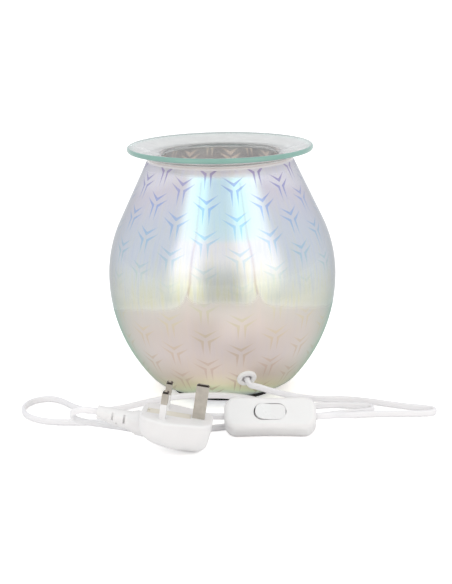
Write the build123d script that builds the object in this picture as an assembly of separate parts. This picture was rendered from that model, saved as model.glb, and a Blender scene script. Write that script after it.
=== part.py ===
from build123d import *
from math import acos, asin, atan2, cos, degrees, radians, sin, sqrt, tan
import os

os.makedirs("parts", exist_ok=True)

# Electric oil burner: a mirrored glass jar on a black base, a glass wax dish on its mouth,
# a halogen reflector lamp inside, and a mains cord with an inline switch and a fused plug.
# Millimetres, +Z up. The origin is on the table, under the middle of the jar.
# The cord grommet, the switch and the plug are on the -Y side.

# Fits and cuts
overrun = 1.0
seat_gap = 0.3
fit_gap = 0.05
press_gap = 0.02

# Glass jar
jar_radius = 81.5
jar_height = 169.8
belly_height = 84.3
jar_foot_radius = 47.4
jar_lip_radius = 50.6
shoulder_bend_share = 0.246
glass_wall = 2.6
glass_floor = 3.6
jar_foot_round = 18.0
jar_inner_round = 12.0
lip_round = 1.15
jar_floor_hole = 24.4

# Glass wax dish
dish_radius = 65.8
dish_edge = 3.7
dish_slope = 13.6
dish_edge_round = 1.4
well_radius = 41.5
well_draft = 14.0
well_depth = 18.0
well_wall = 3.6
well_inner_round = 11.0
well_outer_round = 14.5
well_lip_round = 3.0

# Black base under the jar
base_radius = 37.8
base_height = 4.6
base_edge_round = 1.0
foot_height = 0.9
foot_sink = 0.8
foot_outer = 34.0
foot_inner = 26.0
spigot_drop = 0.5
spigot_top_wall = 3.0
base_pocket_radius = 21.0
post_radius = 3.4

# Clamp plate, its ring and screws
gasket_thick = 1.0
gasket_overlap = 6.4
plate_radius = 30.8
plate_thick = 1.2
clamp_screw_circle = 18.6
clamp_screw_count = 3
screw_shank = 1.45
screw_head = 2.8
screw_head_height = 1.9
screw_slot_width = 0.8
screw_slot_depth = 0.8
clamp_screw_length = 7.0
small_screw_length = 4.6

# Lampholder and its bracket
bracket_width = 12.0
bracket_sheet = 1.2
bracket_rise = 12.0
bracket_span = 33.0
bracket_foot = 8.0
holder_radius = 14.0
holder_height = 19.0
holder_edge_round = 1.2
holder_screw_offset = 10.6
stud_circle = 5.0
stud_neck = 1.5
stud_head = 2.4
stud_head_height = 2.6
slot_cap = 2.6
slot_room = 0.35
slot_depth = 8.0
twist_angle = 30.0
contact_thick = 0.8
contact_side = 3.4

# Halogen reflector lamp
lamp_cap_radius = 12.4
lamp_cap_height = 15.0
lamp_cap_chamfer = 1.6
reflector_radius = 25.0
reflector_height = 36.0
reflector_neck = 12.0
reflector_wall = 1.4
reflector_rim = 2.6
lens_thick = 1.8
capsule_radius = 4.6
capsule_height = 24.0
lamp_lift = 0.3

# Terminal block and wires
block_length = 18.0
block_width = 10.6
block_height = 9.6
block_setback = 19.0
block_round = 1.2
block_bore = 1.5
block_pitch = 8.0
block_screw_bore = 1.9
wire_radius = 0.9
wire_run = 5.0

# Cord and grommet
cord_radius = 2.1
grommet_angle = -76.06
grommet_height = 24.2
grommet_hole = 4.75
grommet_flange = 6.8
grommet_inner_flange = 6.1
grommet_proud = 1.8
grommet_inner_proud = 1.6
grommet_bed = 0.9
grommet_round = 1.0
grommet_bore_room = 0.15

# Inline switch
switch_length = 60.6
switch_width = 24.6
switch_thick = 15.5
switch_waist = 1.2
switch_corner = 8.4
switch_edge_round = 3.6
switch_back_round = 1.4
switch_wall = 1.6
switch_split = -1.2
switch_face_elevation = 43.0
switch_yaw = -2.5
switch_middle = (29.7, -113.4)
rocker_length = 20.6
rocker_width = 11.0
rocker_room = 0.45
rocker_sweep = 10.6
rocker_tilt = 7.0
rocker_depth = 3.4
rocker_recess = 0.4
rocker_skirt = 3.5
trunnion_radius = 1.2
trunnion_reach = 7.2
ear_inner = 6.2
ear_outer = 7.9
ear_half = 2.6
bridge_half = 8.0
bridge_width = 7.0
bridge_thick = 0.5
contact_gap = 0.1
strip_thick = 0.6
strip_width = 2.2
terminal_length = 5.6
terminal_width = 7.2
terminal_height = 5.0
terminal_place = 20.0
rib_width = 1.8
neutral_offset = 2.6
neutral_height = -5.0
live_offset = -1.0
core_offset = 1.1
shell_screw_spot = (13.0, 6.6)
shell_screw_share = 0.75
shell_boss = 2.9

# Three-pin plug, set in its own frame: the face is z = 0, the earth pin stands on the origin,
# and the cord leaves towards -x
pin_row = 22.2
pin_pitch = 22.2
earth_pin_size = (8.0, 4.0, 22.7)
power_pin_size = (4.0, 6.35, 17.7)
pin_root = 7.0
pin_tip = 1.1
sleeve_height = 9.5
sleeve_wall = 0.6
plug_toe = 9.5
plug_heel = 37.8
plug_toe_width = 30.0
plug_waist_place = 20.0
plug_width = 45.6
plug_heel_width = 33.0
plug_corner = 10.0
plug_depth = 22.1
plug_face_round = 1.6
plug_section_depth_shares = (0.0, 0.38, 0.66, 0.835, 0.935, 1.0)
plug_section_width_shares = (1.0, 0.96, 0.87, 0.66, 0.4, 0.14)
grip_radius = 26.0
grip_bite = 1.1
grip_length = 25.0
grip_depth_place = 10.0
carrier_length = 28.0
carrier_width = 9.2
carrier_height = 9.0
carrier_place = 19.0
carrier_room = 0.15
carrier_top = 1.5
carrier_wall = 1.2
carrier_notch = 3.2
fuse_radius = 3.175
fuse_length = 25.4
fuse_cap_length = 6.0
fuse_cap_step = 0.15
clip_length = 4.6
clip_width = 6.0
relief_length = 26.5
relief_axis = 10.0
relief_sink = 4.2
relief_root = 6.2
relief_tail = 4.5
relief_ring = 8.2
relief_ring_count = 4
relief_ring_length = 1.5
relief_ring_step = 0.6
relief_slot_count = 2
relief_slot_pitch = 7.6
relief_slot_start = 8.7
relief_slot_stagger = 4.5
relief_slot_width = 1.3
relief_slot_depth = 2.4
long_slot_reach = (-1.3, 4.2)
short_slot_reach = (-4.7, -2.1)
plug_place = (-17.1, -140.1)
plug_yaw = -4.9
plug_lean = 9.35
plug_tilt = -1.5

# Routes of the cord's two free stretches and of the lead inside the jar, chosen by hand.
# The first stretch starts at the grommet and ends in the switch, the second goes on to the plug.
# The cord leaves the grommet straight over exit_run, the switch over switch_run and the plug over
# tail_run, and the lead inside leaves the grommet over lead_reach.
route_lamp_to_switch = [
    (22.0, -70.0, 20.4), (28.2, -69.8, 18.0), (34.6, -66.9, 15.0), (42.4, -61.6, 11.4), (51.2, -55.0, 7.4),
    (61.2, -49.4, 4.2), (72.0, -45.6, 2.2), (85.5, -46.0, 2.2), (99.5, -51.2, 2.2),
    (114.0, -59.2, 2.2), (127.5, -66.0, 2.2), (137.5, -68.8, 2.2), (143.8, -72.6, 2.2), (143.4, -79.0, 2.2),
    (136.8, -81.2, 2.2), (124.5, -80.6, 2.2), (110.0, -80.4, 2.2), (96.0, -80.0, 2.2), (85.0, -84.0, 3.0),
    (77.4, -93.0, 6.2), (73.2, -104.4, 10.2),
]
route_switch_to_plug = [
    (-13.8, -104.2, 11.4), (-21.4, -96.6, 7.2), (-31.5, -91.4, 3.6), (-43.5, -88.6, 2.2),
    (-57.5, -87.8, 2.2), (-72.5, -86.4, 2.2), (-87.0, -86.8, 2.2), (-101.0, -85.6, 2.2), (-114.0, -84.8, 2.2),
    (-125.0, -81.2, 2.2), (-133.6, -73.8, 2.2), (-139.4, -63.6, 2.2), (-141.2, -52.0, 2.2), (-138.6, -41.0, 2.2),
    (-131.4, -33.2, 2.2), (-121.4, -32.6, 2.2), (-113.0, -41.4, 2.2), (-105.6, -52.6, 2.2), (-96.4, -61.0, 2.2),
    (-84.4, -62.4, 2.2), (-71.4, -56.8, 2.2), (-57.6, -53.4, 3.8), (-43.6, -54.4, 6.0), (-30.0, -56.0, 7.6),
    (-16.0, -56.4, 7.8), (-3.0, -55.4, 6.6), (9.6, -56.0, 4.4), (22.0, -60.2, 2.6), (34.0, -65.2, 2.2),
    (47.0, -65.4, 2.2), (60.0, -60.6, 2.2), (73.0, -58.4, 2.2), (85.0, -60.0, 2.2), (94.4, -61.8, 2.2),
    (101.4, -65.2, 2.2), (102.0, -71.6, 2.2), (95.8, -74.4, 2.2), (84.0, -75.2, 2.2), (70.5, -79.4, 2.2),
    (56.5, -84.6, 2.2), (42.0, -89.4, 2.2), (27.5, -93.0, 2.2), (13.0, -97.2, 2.2), (-1.0, -100.6, 2.2),
    (-14.5, -104.8, 2.2), (-29.0, -107.0, 2.2), (-43.5, -108.2, 2.2), (-57.5, -109.4, 4.0), (-70.0, -113.2, 7.8),
    (-81.4, -117.4, 10.8), (-90.6, -121.4, 13.2), (-97.0, -125.0, 15.8), (-99.4, -129.2, 19.6),
    (-96.0, -132.6, 22.8),
]
exit_run = 4.97
switch_run = 8.6
tail_run = 7.5
lead_reach = 14.2


def ring(outer, inner, low, high):
    """A flat ring between two heights."""
    middle = Pos(0, 0, (low + high) / 2)
    disc = Cylinder(outer, high - low)
    if inner > 0:
        disc -= Cylinder(inner, high - low + overrun)
    return middle * disc


def turned(outline):
    """A solid turned about Z from a closed line of radius and height."""
    return revolve(Plane.XZ * make_face(outline), Axis.Z)


def rounded(face, point, radius):
    """Rounds the corner of a flat face that lies nearest to a point."""
    corner = min(face.vertices(), key=lambda v: (Vector(v.X, v.Y, v.Z) - Vector(*point)).length)
    return fillet(corner, radius)


def slab(length, width, low, high):
    """A straight block on the Z axis between two heights."""
    return Pos(0, 0, (low + high) / 2) * Box(length, width, high - low)


def bent_tube(name, points, radius):
    """A round tube along straight runs joined by arcs as large as the runs allow."""
    stops = [Vector(*p) for p in points]
    runs = [(b - a).length for a, b in zip(stops, stops[1:])]
    bends = []
    for i in range(1, len(stops) - 1):
        turn = radians((stops[i] - stops[i - 1]).get_angle(stops[i + 1] - stops[i]))
        bends.append(0.45 * min(runs[i - 1], runs[i]) / tan(turn / 2))
    line = FilletPolyline(*stops, radius=bends)
    section = Plane(origin=stops[0], z_dir=stops[1] - stops[0]) * Circle(radius)
    tube = sweep(section, path=line)
    share = tube.volume / (section.area * line.length)
    print(name, "length", round(line.length, 1), "volume share", round(share, 4))
    print(name, "radii", [round(b, 1) for b in bends])
    return tube


def screw(length, share=1):
    """A slotted pan-head screw, head up, its seat at z = 0."""
    head_radius = screw_head * share
    head = Pos(0, 0, screw_head_height / 2) * Cylinder(head_radius, screw_head_height)
    head = fillet(head.edges().group_by(Axis.Z)[-1], screw_head_height / 3)
    head -= Pos(0, 0, screw_head_height) * Box(head_radius * 3, screw_slot_width, screw_slot_depth * 2)
    return head + Pos(0, 0, -length / 2) * Cylinder(screw_shank * share, length)


def save(name, *solids):
    """Writes one named piece, as one solid or as a group of separate ones."""
    bodies = [body for shape in solids for body in shape.solids()]
    shape = bodies[0] if len(bodies) == 1 else Compound(children=bodies)
    export_step(shape, f"parts/{name}.step")


# Glass jar: a belly arc, a shoulder arc and a straight neck, all met smoothly
jar_bottom = base_height
jar_inner_floor = jar_bottom + glass_floor
foot_inset = jar_radius - jar_foot_radius
belly_drop = belly_height - jar_bottom
belly_arc_radius = (foot_inset ** 2 + belly_drop ** 2) / (2 * foot_inset)
shoulder_rise = jar_height - belly_height
shoulder_bend = shoulder_rise * shoulder_bend_share
neck_taper = degrees(atan2(jar_radius - jar_lip_radius, shoulder_rise - shoulder_bend))
shoulder_arc_radius = shoulder_bend / tan(radians(neck_taper / 2))


def jar_point(inset, angle):
    """A point of the jar's side, set in from its outside, by the angle of its arc."""
    arc_radius = shoulder_arc_radius if angle > 0 else belly_arc_radius
    middle = jar_radius - arc_radius
    reach = arc_radius - inset
    return (middle + reach * cos(radians(angle)), belly_height + reach * sin(radians(angle)))


def jar_radius_at(inset, height):
    """The jar's radius on its belly arc, below the widest place."""
    reach = belly_arc_radius - inset
    return jar_radius - belly_arc_radius + sqrt(reach ** 2 - (belly_height - height) ** 2)


def jar_neck_radius(inset, height):
    """The jar's radius on its straight neck."""
    start = jar_point(inset, neck_taper)
    return start[0] - (height - start[1]) * tan(radians(neck_taper))


def jar_side(inset, bottom, top):
    """The jar's side line from its foot to its lip."""
    low = degrees(asin((bottom - belly_height) / (belly_arc_radius - inset)))
    widest = (jar_radius - inset, belly_height)
    belly = ThreePointArc(jar_point(inset, low), jar_point(inset, low / 2), widest)
    shoulder = ThreePointArc(widest, jar_point(inset, neck_taper / 2), jar_point(inset, neck_taper))
    neck = Line(jar_point(inset, neck_taper), (jar_neck_radius(inset, top), top))
    return [belly, shoulder, neck]


outer_foot = (jar_radius_at(0, jar_bottom), jar_bottom)
inner_foot = (jar_radius_at(glass_wall, jar_inner_floor), jar_inner_floor)
outer_lip = (jar_neck_radius(0, jar_height), jar_height)
inner_lip = (jar_neck_radius(glass_wall, jar_height), jar_height)
jar_outline = Wire(
    jar_side(0, jar_bottom, jar_height)
    + [Line(outer_lip, inner_lip)]
    + jar_side(glass_wall, jar_inner_floor, jar_height)
    + [
        Line(inner_foot, (jar_floor_hole, jar_inner_floor)),
        Line((jar_floor_hole, jar_inner_floor), (jar_floor_hole, jar_bottom)),
        Line((jar_floor_hole, jar_bottom), outer_foot),
    ]
)
jar_face = make_face(jar_outline)
jar_face = rounded(jar_face, (*outer_foot, 0), jar_foot_round)
jar_face = rounded(jar_face, (*inner_foot, 0), jar_inner_round)
jar_face = rounded(jar_face, (*outer_lip, 0), lip_round)
jar_face = rounded(jar_face, (*inner_lip, 0), lip_round)
glass_jar = revolve(Plane.XZ * jar_face, Axis.Z)

# Grommet in the jar's wall, low on the front, square to the glass
grommet_radius = jar_radius_at(0, grommet_height)
grommet_slope = asin((grommet_height - belly_height) / belly_arc_radius)
around = radians(grommet_angle)
grommet_plane = Plane(
    origin=(grommet_radius * cos(around), grommet_radius * sin(around), grommet_height),
    x_dir=(-sin(around), cos(around), 0),
    z_dir=(cos(grommet_slope) * cos(around), cos(grommet_slope) * sin(around), sin(grommet_slope)),
)
hole_cutter = grommet_plane * Cylinder(grommet_hole, (glass_wall + overrun) * 4)
glass_jar -= hole_cutter

grommet = Pos(0, 0, (grommet_proud - grommet_bed) / 2) * Cylinder(grommet_flange, grommet_proud + grommet_bed)
grommet = fillet(grommet.edges().group_by(Axis.Z)[-1], grommet_round)
inner_flange_top = grommet_bed - glass_wall
inner_flange_low = -glass_wall - grommet_inner_proud
grommet += ring(grommet_inner_flange, 0, inner_flange_low, inner_flange_top)
grommet += ring(grommet_hole - fit_gap, 0, inner_flange_low, grommet_proud / 2)
grommet = grommet_plane * grommet
grommet -= glass_jar
grommet -= grommet_plane * Cylinder(cord_radius + grommet_bore_room, grommet_flange * 3)

# Wax dish: a cone-shaped flange that rests on the lip, with a well that hangs in the mouth
slope = tan(radians(dish_slope))
lip_middle = (outer_lip[0] + inner_lip[0]) / 2
flange_underside = jar_height + seat_gap + (dish_radius - lip_middle) * slope
dish_top = flange_underside + dish_edge
well_top = dish_top - (dish_radius - well_radius) * slope
well_floor = well_top - well_depth
well_foot_radius = well_radius - well_depth * tan(radians(well_draft))
bowl_radius = well_radius + well_wall
bowl_top = flange_underside - (dish_radius - bowl_radius) * slope
bowl_floor = well_floor - well_wall
bowl_foot_radius = bowl_radius - (bowl_top - bowl_floor) * tan(radians(well_draft))
dish_face = make_face(
    Polyline(
        (0, bowl_floor),
        (bowl_foot_radius, bowl_floor),
        (bowl_radius, bowl_top),
        (dish_radius, flange_underside),
        (dish_radius, dish_top),
        (well_radius, well_top),
        (well_foot_radius, well_floor),
        (0, well_floor),
        close=True,
    )
)
dish_face = rounded(dish_face, (bowl_foot_radius, bowl_floor, 0), well_outer_round)
dish_face = rounded(dish_face, (well_foot_radius, well_floor, 0), well_inner_round)
dish_face = rounded(dish_face, (bowl_radius, bowl_top, 0), well_lip_round)
dish_face = rounded(dish_face, (well_radius, well_top, 0), well_lip_round)
dish_face = rounded(dish_face, (dish_radius, dish_top, 0), dish_edge_round)
dish_face = rounded(dish_face, (dish_radius, flange_underside, 0), dish_edge_round)
wax_dish = revolve(Plane.XZ * dish_face, Axis.Z)

# Base disc with a spigot through the jar's floor, and a foam ring under it
spigot_radius = jar_floor_hole - seat_gap
spigot_top = jar_inner_floor - spigot_drop
pocket_top = spigot_top - spigot_top_wall
base_bottom = foot_height - foot_sink
base_disc = ring(base_radius, 0, base_bottom, base_height)
base_disc = fillet(base_disc.edges().group_by(Axis.Z)[-1], base_edge_round)
base_disc += ring(spigot_radius, 0, base_bottom, spigot_top)
base_disc -= ring(base_pocket_radius, 0, base_bottom - overrun, pocket_top)
base_disc -= ring(foot_outer + fit_gap, foot_inner - fit_gap, base_bottom - overrun, base_bottom + foot_sink)
screw_spots = PolarLocations(clamp_screw_circle, clamp_screw_count, start_angle=90)
base_disc += screw_spots * ring(post_radius, 0, base_bottom + foot_sink, pocket_top)
base_disc -= screw_spots * Cylinder(screw_shank + fit_gap, spigot_top * 3)
foot_ring = ring(foot_outer, foot_inner, 0, foot_height)

# Silicone ring, steel clamp plate and the three screws that hold the jar to its base
gasket_low = jar_inner_floor
plate_low = gasket_low + gasket_thick
plate_top = plate_low + plate_thick
clamp_ring = ring(jar_floor_hole + gasket_overlap, jar_floor_hole + seat_gap, gasket_low, plate_low)
clamp_plate = ring(plate_radius, 0, plate_low, plate_top)
clamp_plate -= screw_spots * (Pos(0, 0, plate_low) * Cylinder(screw_shank + seat_gap, plate_thick * 3))
clamp_screws = [
    spot * Pos(0, 0, plate_top) * screw(clamp_screw_length) for spot in screw_spots
]

# Bracket: a bent strip whose feet are screwed to the clamp plate
half_span = bracket_span / 2
foot_end = half_span + bracket_foot
bracket_top = plate_top + bracket_rise
bracket_line = [
    (-foot_end, plate_top),
    (-half_span + bracket_sheet, plate_top),
    (-half_span + bracket_sheet, bracket_top - bracket_sheet),
    (half_span - bracket_sheet, bracket_top - bracket_sheet),
    (half_span - bracket_sheet, plate_top),
    (foot_end, plate_top),
    (foot_end, plate_top + bracket_sheet),
    (half_span, plate_top + bracket_sheet),
    (half_span, bracket_top),
    (-half_span, bracket_top),
    (-half_span, plate_top + bracket_sheet),
    (-foot_end, plate_top + bracket_sheet),
]
bracket_face = make_face(Polyline(*bracket_line, close=True))
for bend_x in (-half_span, half_span):
    bracket_face = rounded(bracket_face, (bend_x, bracket_top, 0), bracket_sheet)
holder_bracket = extrude(Plane.XZ * bracket_face, bracket_width / 2, both=True)
foot_screw_x = half_span + bracket_foot / 2
foot_spots = [Pos(x, 0, plate_top + bracket_sheet) for x in (-foot_screw_x, foot_screw_x)]
holder_spots = [Pos(x, 0, bracket_top) for x in (-holder_screw_offset, holder_screw_offset)]
screw_hole = Cylinder(screw_shank + fit_gap, small_screw_length * 3)
for spot in foot_spots:
    holder_bracket -= spot * screw_hole
    clamp_plate -= spot * screw_hole
bracket_screws = [spot * screw(plate_thick + bracket_sheet) for spot in foot_spots]

# Ceramic lampholder with two curved keyhole slots for the lamp's studs
holder_top = bracket_top + holder_height
lamp_holder = ring(holder_radius, 0, bracket_top, holder_top)
lamp_holder = fillet(lamp_holder.edges().group_by(Axis.Z)[-1], holder_edge_round)


def twist_slot(half_width, low, high):
    """A curved slot round the lamp's axis, from the locked stud to where it comes out."""
    start = Pos(stud_circle, 0, (low + high) / 2) * Cylinder(half_width, high - low)
    end = Rot(0, 0, twist_angle) * start
    strip = Plane.XZ * (Pos(stud_circle, (low + high) / 2) * Rectangle(half_width * 2, high - low))
    return start + end + revolve(strip, Axis.Z, revolution_arc=twist_angle)


slot_low = holder_top - slot_depth
keyhole = twist_slot(stud_head + slot_room, slot_low, holder_top - slot_cap)
keyhole += twist_slot(stud_neck + slot_room, slot_low, holder_top + overrun)
entry = Pos(stud_circle, 0, holder_top) * Cylinder(stud_head + slot_room, slot_cap * 3)
keyhole += Rot(0, 0, twist_angle) * entry
for side in (0, 180):
    lamp_holder -= Rot(0, 0, side) * keyhole
screw_pilot = Cylinder(screw_shank + fit_gap, small_screw_length * 2)
for spot in holder_spots:
    lamp_holder -= spot * screw_pilot
    holder_bracket -= spot * screw_pilot
holder_screws = [
    Pos(spot.position.X, 0, bracket_top - bracket_sheet) * Rot(180, 0, 0) * screw(small_screw_length)
    for spot in holder_spots
]
contact_plate = slab(contact_side, contact_side, slot_low, slot_low + contact_thick)
holder_contacts = [Pos(x, 0, 0) * contact_plate for x in (-stud_circle, stud_circle)]

# Halogen lamp: ceramic cap with two studs, glass reflector, front glass and inner capsule
lamp_low = holder_top + lamp_lift
lamp_cap_top = lamp_low + lamp_cap_height
lamp_cap = ring(lamp_cap_radius, 0, lamp_low, lamp_cap_top)
lamp_cap = chamfer(lamp_cap.edges().group_by(Axis.Z)[0], lamp_cap_chamfer)
reflector_low = lamp_cap_top
reflector_top = reflector_low + reflector_height


def bell(inset, low):
    """The reflector's curved side, from its neck to its rim."""
    neck = (reflector_neck - inset, low)
    rim = (reflector_radius - inset, reflector_top - reflector_rim)
    bulge = (
        (neck[0] + 2 * rim[0]) / 3,
        (neck[1] + rim[1]) / 2,
    )
    return Spline(neck, bulge, rim), neck, rim


outer_bell, outer_neck, outer_rim = bell(0, reflector_low)
inner_bell, inner_neck, inner_rim = bell(reflector_wall, reflector_low)
reflector = turned(
    Wire(
        [
            outer_bell,
            Line(outer_rim, (reflector_radius, reflector_top)),
            Line((reflector_radius, reflector_top), (reflector_radius - reflector_wall, reflector_top)),
            Line((reflector_radius - reflector_wall, reflector_top), inner_rim),
            inner_bell,
            Line(inner_neck, outer_neck),
        ]
    )
)
lens_radius = reflector_radius - reflector_wall - fit_gap
lamp_lens = ring(lens_radius, 0, reflector_top - lens_thick, reflector_top)
capsule = ring(capsule_radius, 0, lamp_cap_top, lamp_cap_top + capsule_height)
capsule = fillet(capsule.edges().group_by(Axis.Z)[-1], capsule_radius * 0.9)
stud_low = holder_top - slot_cap - seat_gap - stud_head_height
stud = ring(stud_head, 0, stud_low, stud_low + stud_head_height)
stud += ring(stud_neck, 0, stud_low, lamp_low)
lamp_studs = [Pos(x, 0, 0) * stud for x in (-stud_circle, stud_circle)]

# Terminal block on the clamp plate, two sleeved wires up to the holder, and the cord's inner end
block_middle = Pos(0, -block_setback, plate_top + block_height / 2)
terminal_block = fillet(Box(block_length, block_width, block_height).edges().filter_by(Axis.Z), block_round)
block_bores = [Pos(x, 0, 0) for x in (-block_pitch / 2, block_pitch / 2)]
for spot in block_bores:
    terminal_block -= spot * Rot(90, 0, 0) * Cylinder(block_bore, block_width + overrun)
    terminal_block -= spot * Pos(0, 0, block_height / 2) * Cylinder(block_screw_bore, block_height)
terminal_block = block_middle * terminal_block
wire_height = plate_top + block_height / 2
wire_start = -block_setback + block_width / 2 - overrun
wire_end = -(bracket_width / 2 + wire_radius + overrun)
holder_wires = []
for x in (-block_pitch / 2, block_pitch / 2):
    wire_points = [
        (x, wire_start - wire_run / 2, wire_height),
        (x, wire_end, wire_height),
        (x, wire_end, bracket_top),
    ]
    holder_wires.append(bent_tube("holder wire", wire_points, wire_radius))

grommet_exit = grommet_plane.from_local_coords((0, 0, grommet_proud))
lead_start = grommet_plane.from_local_coords((0, 0, grommet_proud - fit_gap))
lead_end = (0, -block_setback - block_width / 2, wire_height)
lead_turn = grommet_plane.from_local_coords((0, 0, -lead_reach))
lead_dip = (0, (lead_turn.Y + lead_end[1]) / 2, wire_height)
lamp_lead = bent_tube("lamp lead", [tuple(lead_start), tuple(lead_turn), lead_dip, lead_end], cord_radius)

# Inline switch, built flat with its face up, then leaned back on its lower edge
half_thick = switch_thick / 2


def switch_outline(inset):
    """The switch seen from its face: rounded ends and slightly waisted sides."""
    x = switch_length / 2 - inset
    y = switch_width / 2 - inset
    sides = [
        ThreePointArc((-x, y), (0, y - switch_waist), (x, y)),
        Line((x, y), (x, -y)),
        ThreePointArc((x, -y), (0, -y + switch_waist), (-x, -y)),
        Line((-x, -y), (-x, y)),
    ]
    face = make_face(Wire(sides))
    return fillet(face.vertices(), switch_corner - inset)


outer_face = switch_outline(0)
room_face = switch_outline(switch_wall)
upper_shell = extrude(Pos(0, 0, switch_split) * outer_face, half_thick - switch_split)
upper_shell = fillet(upper_shell.edges().group_by(Axis.Z)[-1], switch_edge_round)
upper_shell -= extrude(Pos(0, 0, switch_split) * room_face, half_thick - switch_wall - switch_split)
lower_shell = extrude(Pos(0, 0, switch_split) * outer_face, -half_thick - switch_split)
lower_shell = fillet(lower_shell.edges().group_by(Axis.Z)[0], switch_back_round)
lower_shell -= extrude(Pos(0, 0, switch_split) * room_face, -half_thick + switch_wall - switch_split)

rocker_axis = half_thick - rocker_depth
opening = SlotOverall(rocker_length + 2 * rocker_room, rocker_width + 2 * rocker_room)
upper_shell -= extrude(Pos(0, 0, rocker_axis) * opening, rocker_depth + overrun)
room_top = half_thick - switch_wall
ear_width = ear_outer - ear_inner
for side in (-1, 1):
    ear = slab(ear_half * 2, ear_width, rocker_axis - ear_half, room_top)
    upper_shell += Pos(0, side * (ear_inner + ear_width / 2), 0) * ear
trunnion_hole = Pos(0, 0, rocker_axis) * Rot(90, 0, 0) * Cylinder(trunnion_radius + fit_gap, ear_outer * 2 + fit_gap)
upper_shell -= trunnion_hole

# Rocker: its two faces meet in a shallow valley, and its ends follow the swing
rocker_mid = rocker_depth - rocker_recess
rocker_half = rocker_length / 2
rocker_rise = rocker_half * tan(radians(rocker_tilt))
rocker_face = make_face(
    Polyline(
        (-rocker_half, -rocker_skirt),
        (rocker_half, -rocker_skirt),
        (rocker_half, rocker_mid + rocker_rise),
        (0, rocker_mid),
        (-rocker_half, rocker_mid + rocker_rise),
        close=True,
    )
)
rocker = extrude(Plane.XZ * rocker_face, rocker_width / 2, both=True)
rocker &= extrude(SlotOverall(rocker_length, rocker_width), rocker_width, both=True)
rocker &= Rot(90, 0, 0) * Cylinder(rocker_sweep, rocker_width * 2)
rocker += Rot(90, 0, 0) * Cylinder(trunnion_radius, trunnion_reach * 2)
bridge_low = -rocker_skirt - bridge_thick
moving_contact = slab(bridge_half * 2, bridge_width, bridge_low, -rocker_skirt)
rocker_rest = Pos(0, 0, rocker_axis) * Rot(0, rocker_tilt, 0)

# Two brass strips with screw terminals, on ribs of the lower shell
tilt = radians(rocker_tilt)
strip_top = rocker_axis + bridge_low * cos(tilt) - bridge_half * sin(tilt) - contact_gap
strip_low = strip_top - strip_thick
terminal_block_half = terminal_length / 2
room_low = -half_thick + switch_wall
terminal_body = slab(terminal_length, terminal_width, strip_low, strip_low + terminal_height)
terminal_body = fillet(terminal_body.edges().filter_by(Axis.Z), screw_slot_width)
wire_line = strip_low + terminal_height / 2
cord_seat = switch_length / 2 - switch_wall - seat_gap
stub_from = terminal_place - terminal_block_half / 2
stub_to = cord_seat - fit_gap
terminal_bore = Rot(0, 90, 0) * Cylinder(wire_radius + fit_gap, terminal_length + overrun)
terminal_body -= Pos(0, live_offset, wire_line) * terminal_bore
switch_terminals = []
switch_wires = []

for side in (-1, 1):
    strip_from = side * terminal_place
    strip_to = side * (bridge_half - strip_width / 2)
    strip = slab(abs(strip_to - strip_from), strip_width, strip_low, strip_top)
    strip = Pos((strip_from + strip_to) / 2, 0, 0) * strip
    switch_terminals.append(strip + Pos(strip_from, 0, 0) * terminal_body)
    lower_shell += Pos(strip_from, 0, 0) * slab(terminal_length, rib_width, room_low, strip_low)
    lower_shell += Pos(side * bridge_half, 0, 0) * slab(strip_width, rib_width, room_low, strip_low)
    stub = Rot(0, 90, 0) * Cylinder(wire_radius, stub_to - stub_from)
    switch_wires.append(Pos(side * (stub_to + stub_from) / 2, live_offset, wire_line) * stub)
neutral_turn = terminal_place + terminal_block_half - wire_radius
neutral_points = [
    (-cord_seat + wire_radius, core_offset, 0),
    (-neutral_turn, neutral_offset, neutral_height),
    (neutral_turn, neutral_offset, neutral_height),
    (cord_seat - wire_radius, core_offset, 0),
]
switch_wires.append(bent_tube("neutral wire", neutral_points, wire_radius))

# Two screws from the back join the shells, and the cord enters at both ends
shell_screws = []
hold_radius = screw_shank * shell_screw_share + fit_gap
for side in (-1, 1):
    spot = Pos(side * shell_screw_spot[0], -side * shell_screw_spot[1], 0)
    lower_shell += spot * ring(shell_boss, 0, room_low, switch_split)
    lower_shell -= spot * Cylinder(hold_radius, switch_thick * 2)
    head_room = Cylinder(screw_head * shell_screw_share + fit_gap, screw_head_height)
    lower_shell -= spot * Pos(0, 0, -half_thick + screw_head_height / 2) * head_room
    upper_shell += spot * ring(shell_boss, 0, switch_split, room_top)
    upper_shell -= spot * ring(hold_radius, 0, -half_thick, room_top - switch_wall)
    screw_seat = Pos(0, 0, -half_thick + screw_head_height)
    shell_length = switch_thick - screw_head_height - switch_wall * 3
    shell_screws.append(spot * screw_seat * Rot(180, 0, 0) * screw(shell_length, shell_screw_share))
cord_hole = Rot(0, 90, 0) * Cylinder(cord_radius + rocker_room, switch_length * 2)
cord_hole -= Box(terminal_place * 2, switch_width, switch_thick)
upper_shell -= cord_hole
lower_shell -= cord_hole

lean = Rot(0, 0, switch_yaw) * Rot(90 - switch_face_elevation, 0, 0)
switch_lift = -(lean * lower_shell).bounding_box().min.Z
switch_place = Pos(*switch_middle, switch_lift) * lean
print("switch middle height", round(switch_lift, 2))

# Three-pin plug


def plug_outline(width_share):
    """The plug seen from its face: narrow at the earth pin, widest at the power pins."""
    toe = plug_toe_width / 2
    wide = plug_width / 2
    heel = plug_heel_width / 2
    points = [
        (plug_toe, toe),
        (-plug_waist_place, wide),
        (-plug_heel, heel),
        (-plug_heel, -heel),
        (-plug_waist_place, -wide),
        (plug_toe, -toe),
    ]
    face = make_face(Polyline(*points, close=True))
    face = Pos(plug_waist_place, 0, 0) * fillet(face.vertices(), plug_corner)
    return Pos(-plug_waist_place, 0, 0) * scale(face, width_share)


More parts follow.
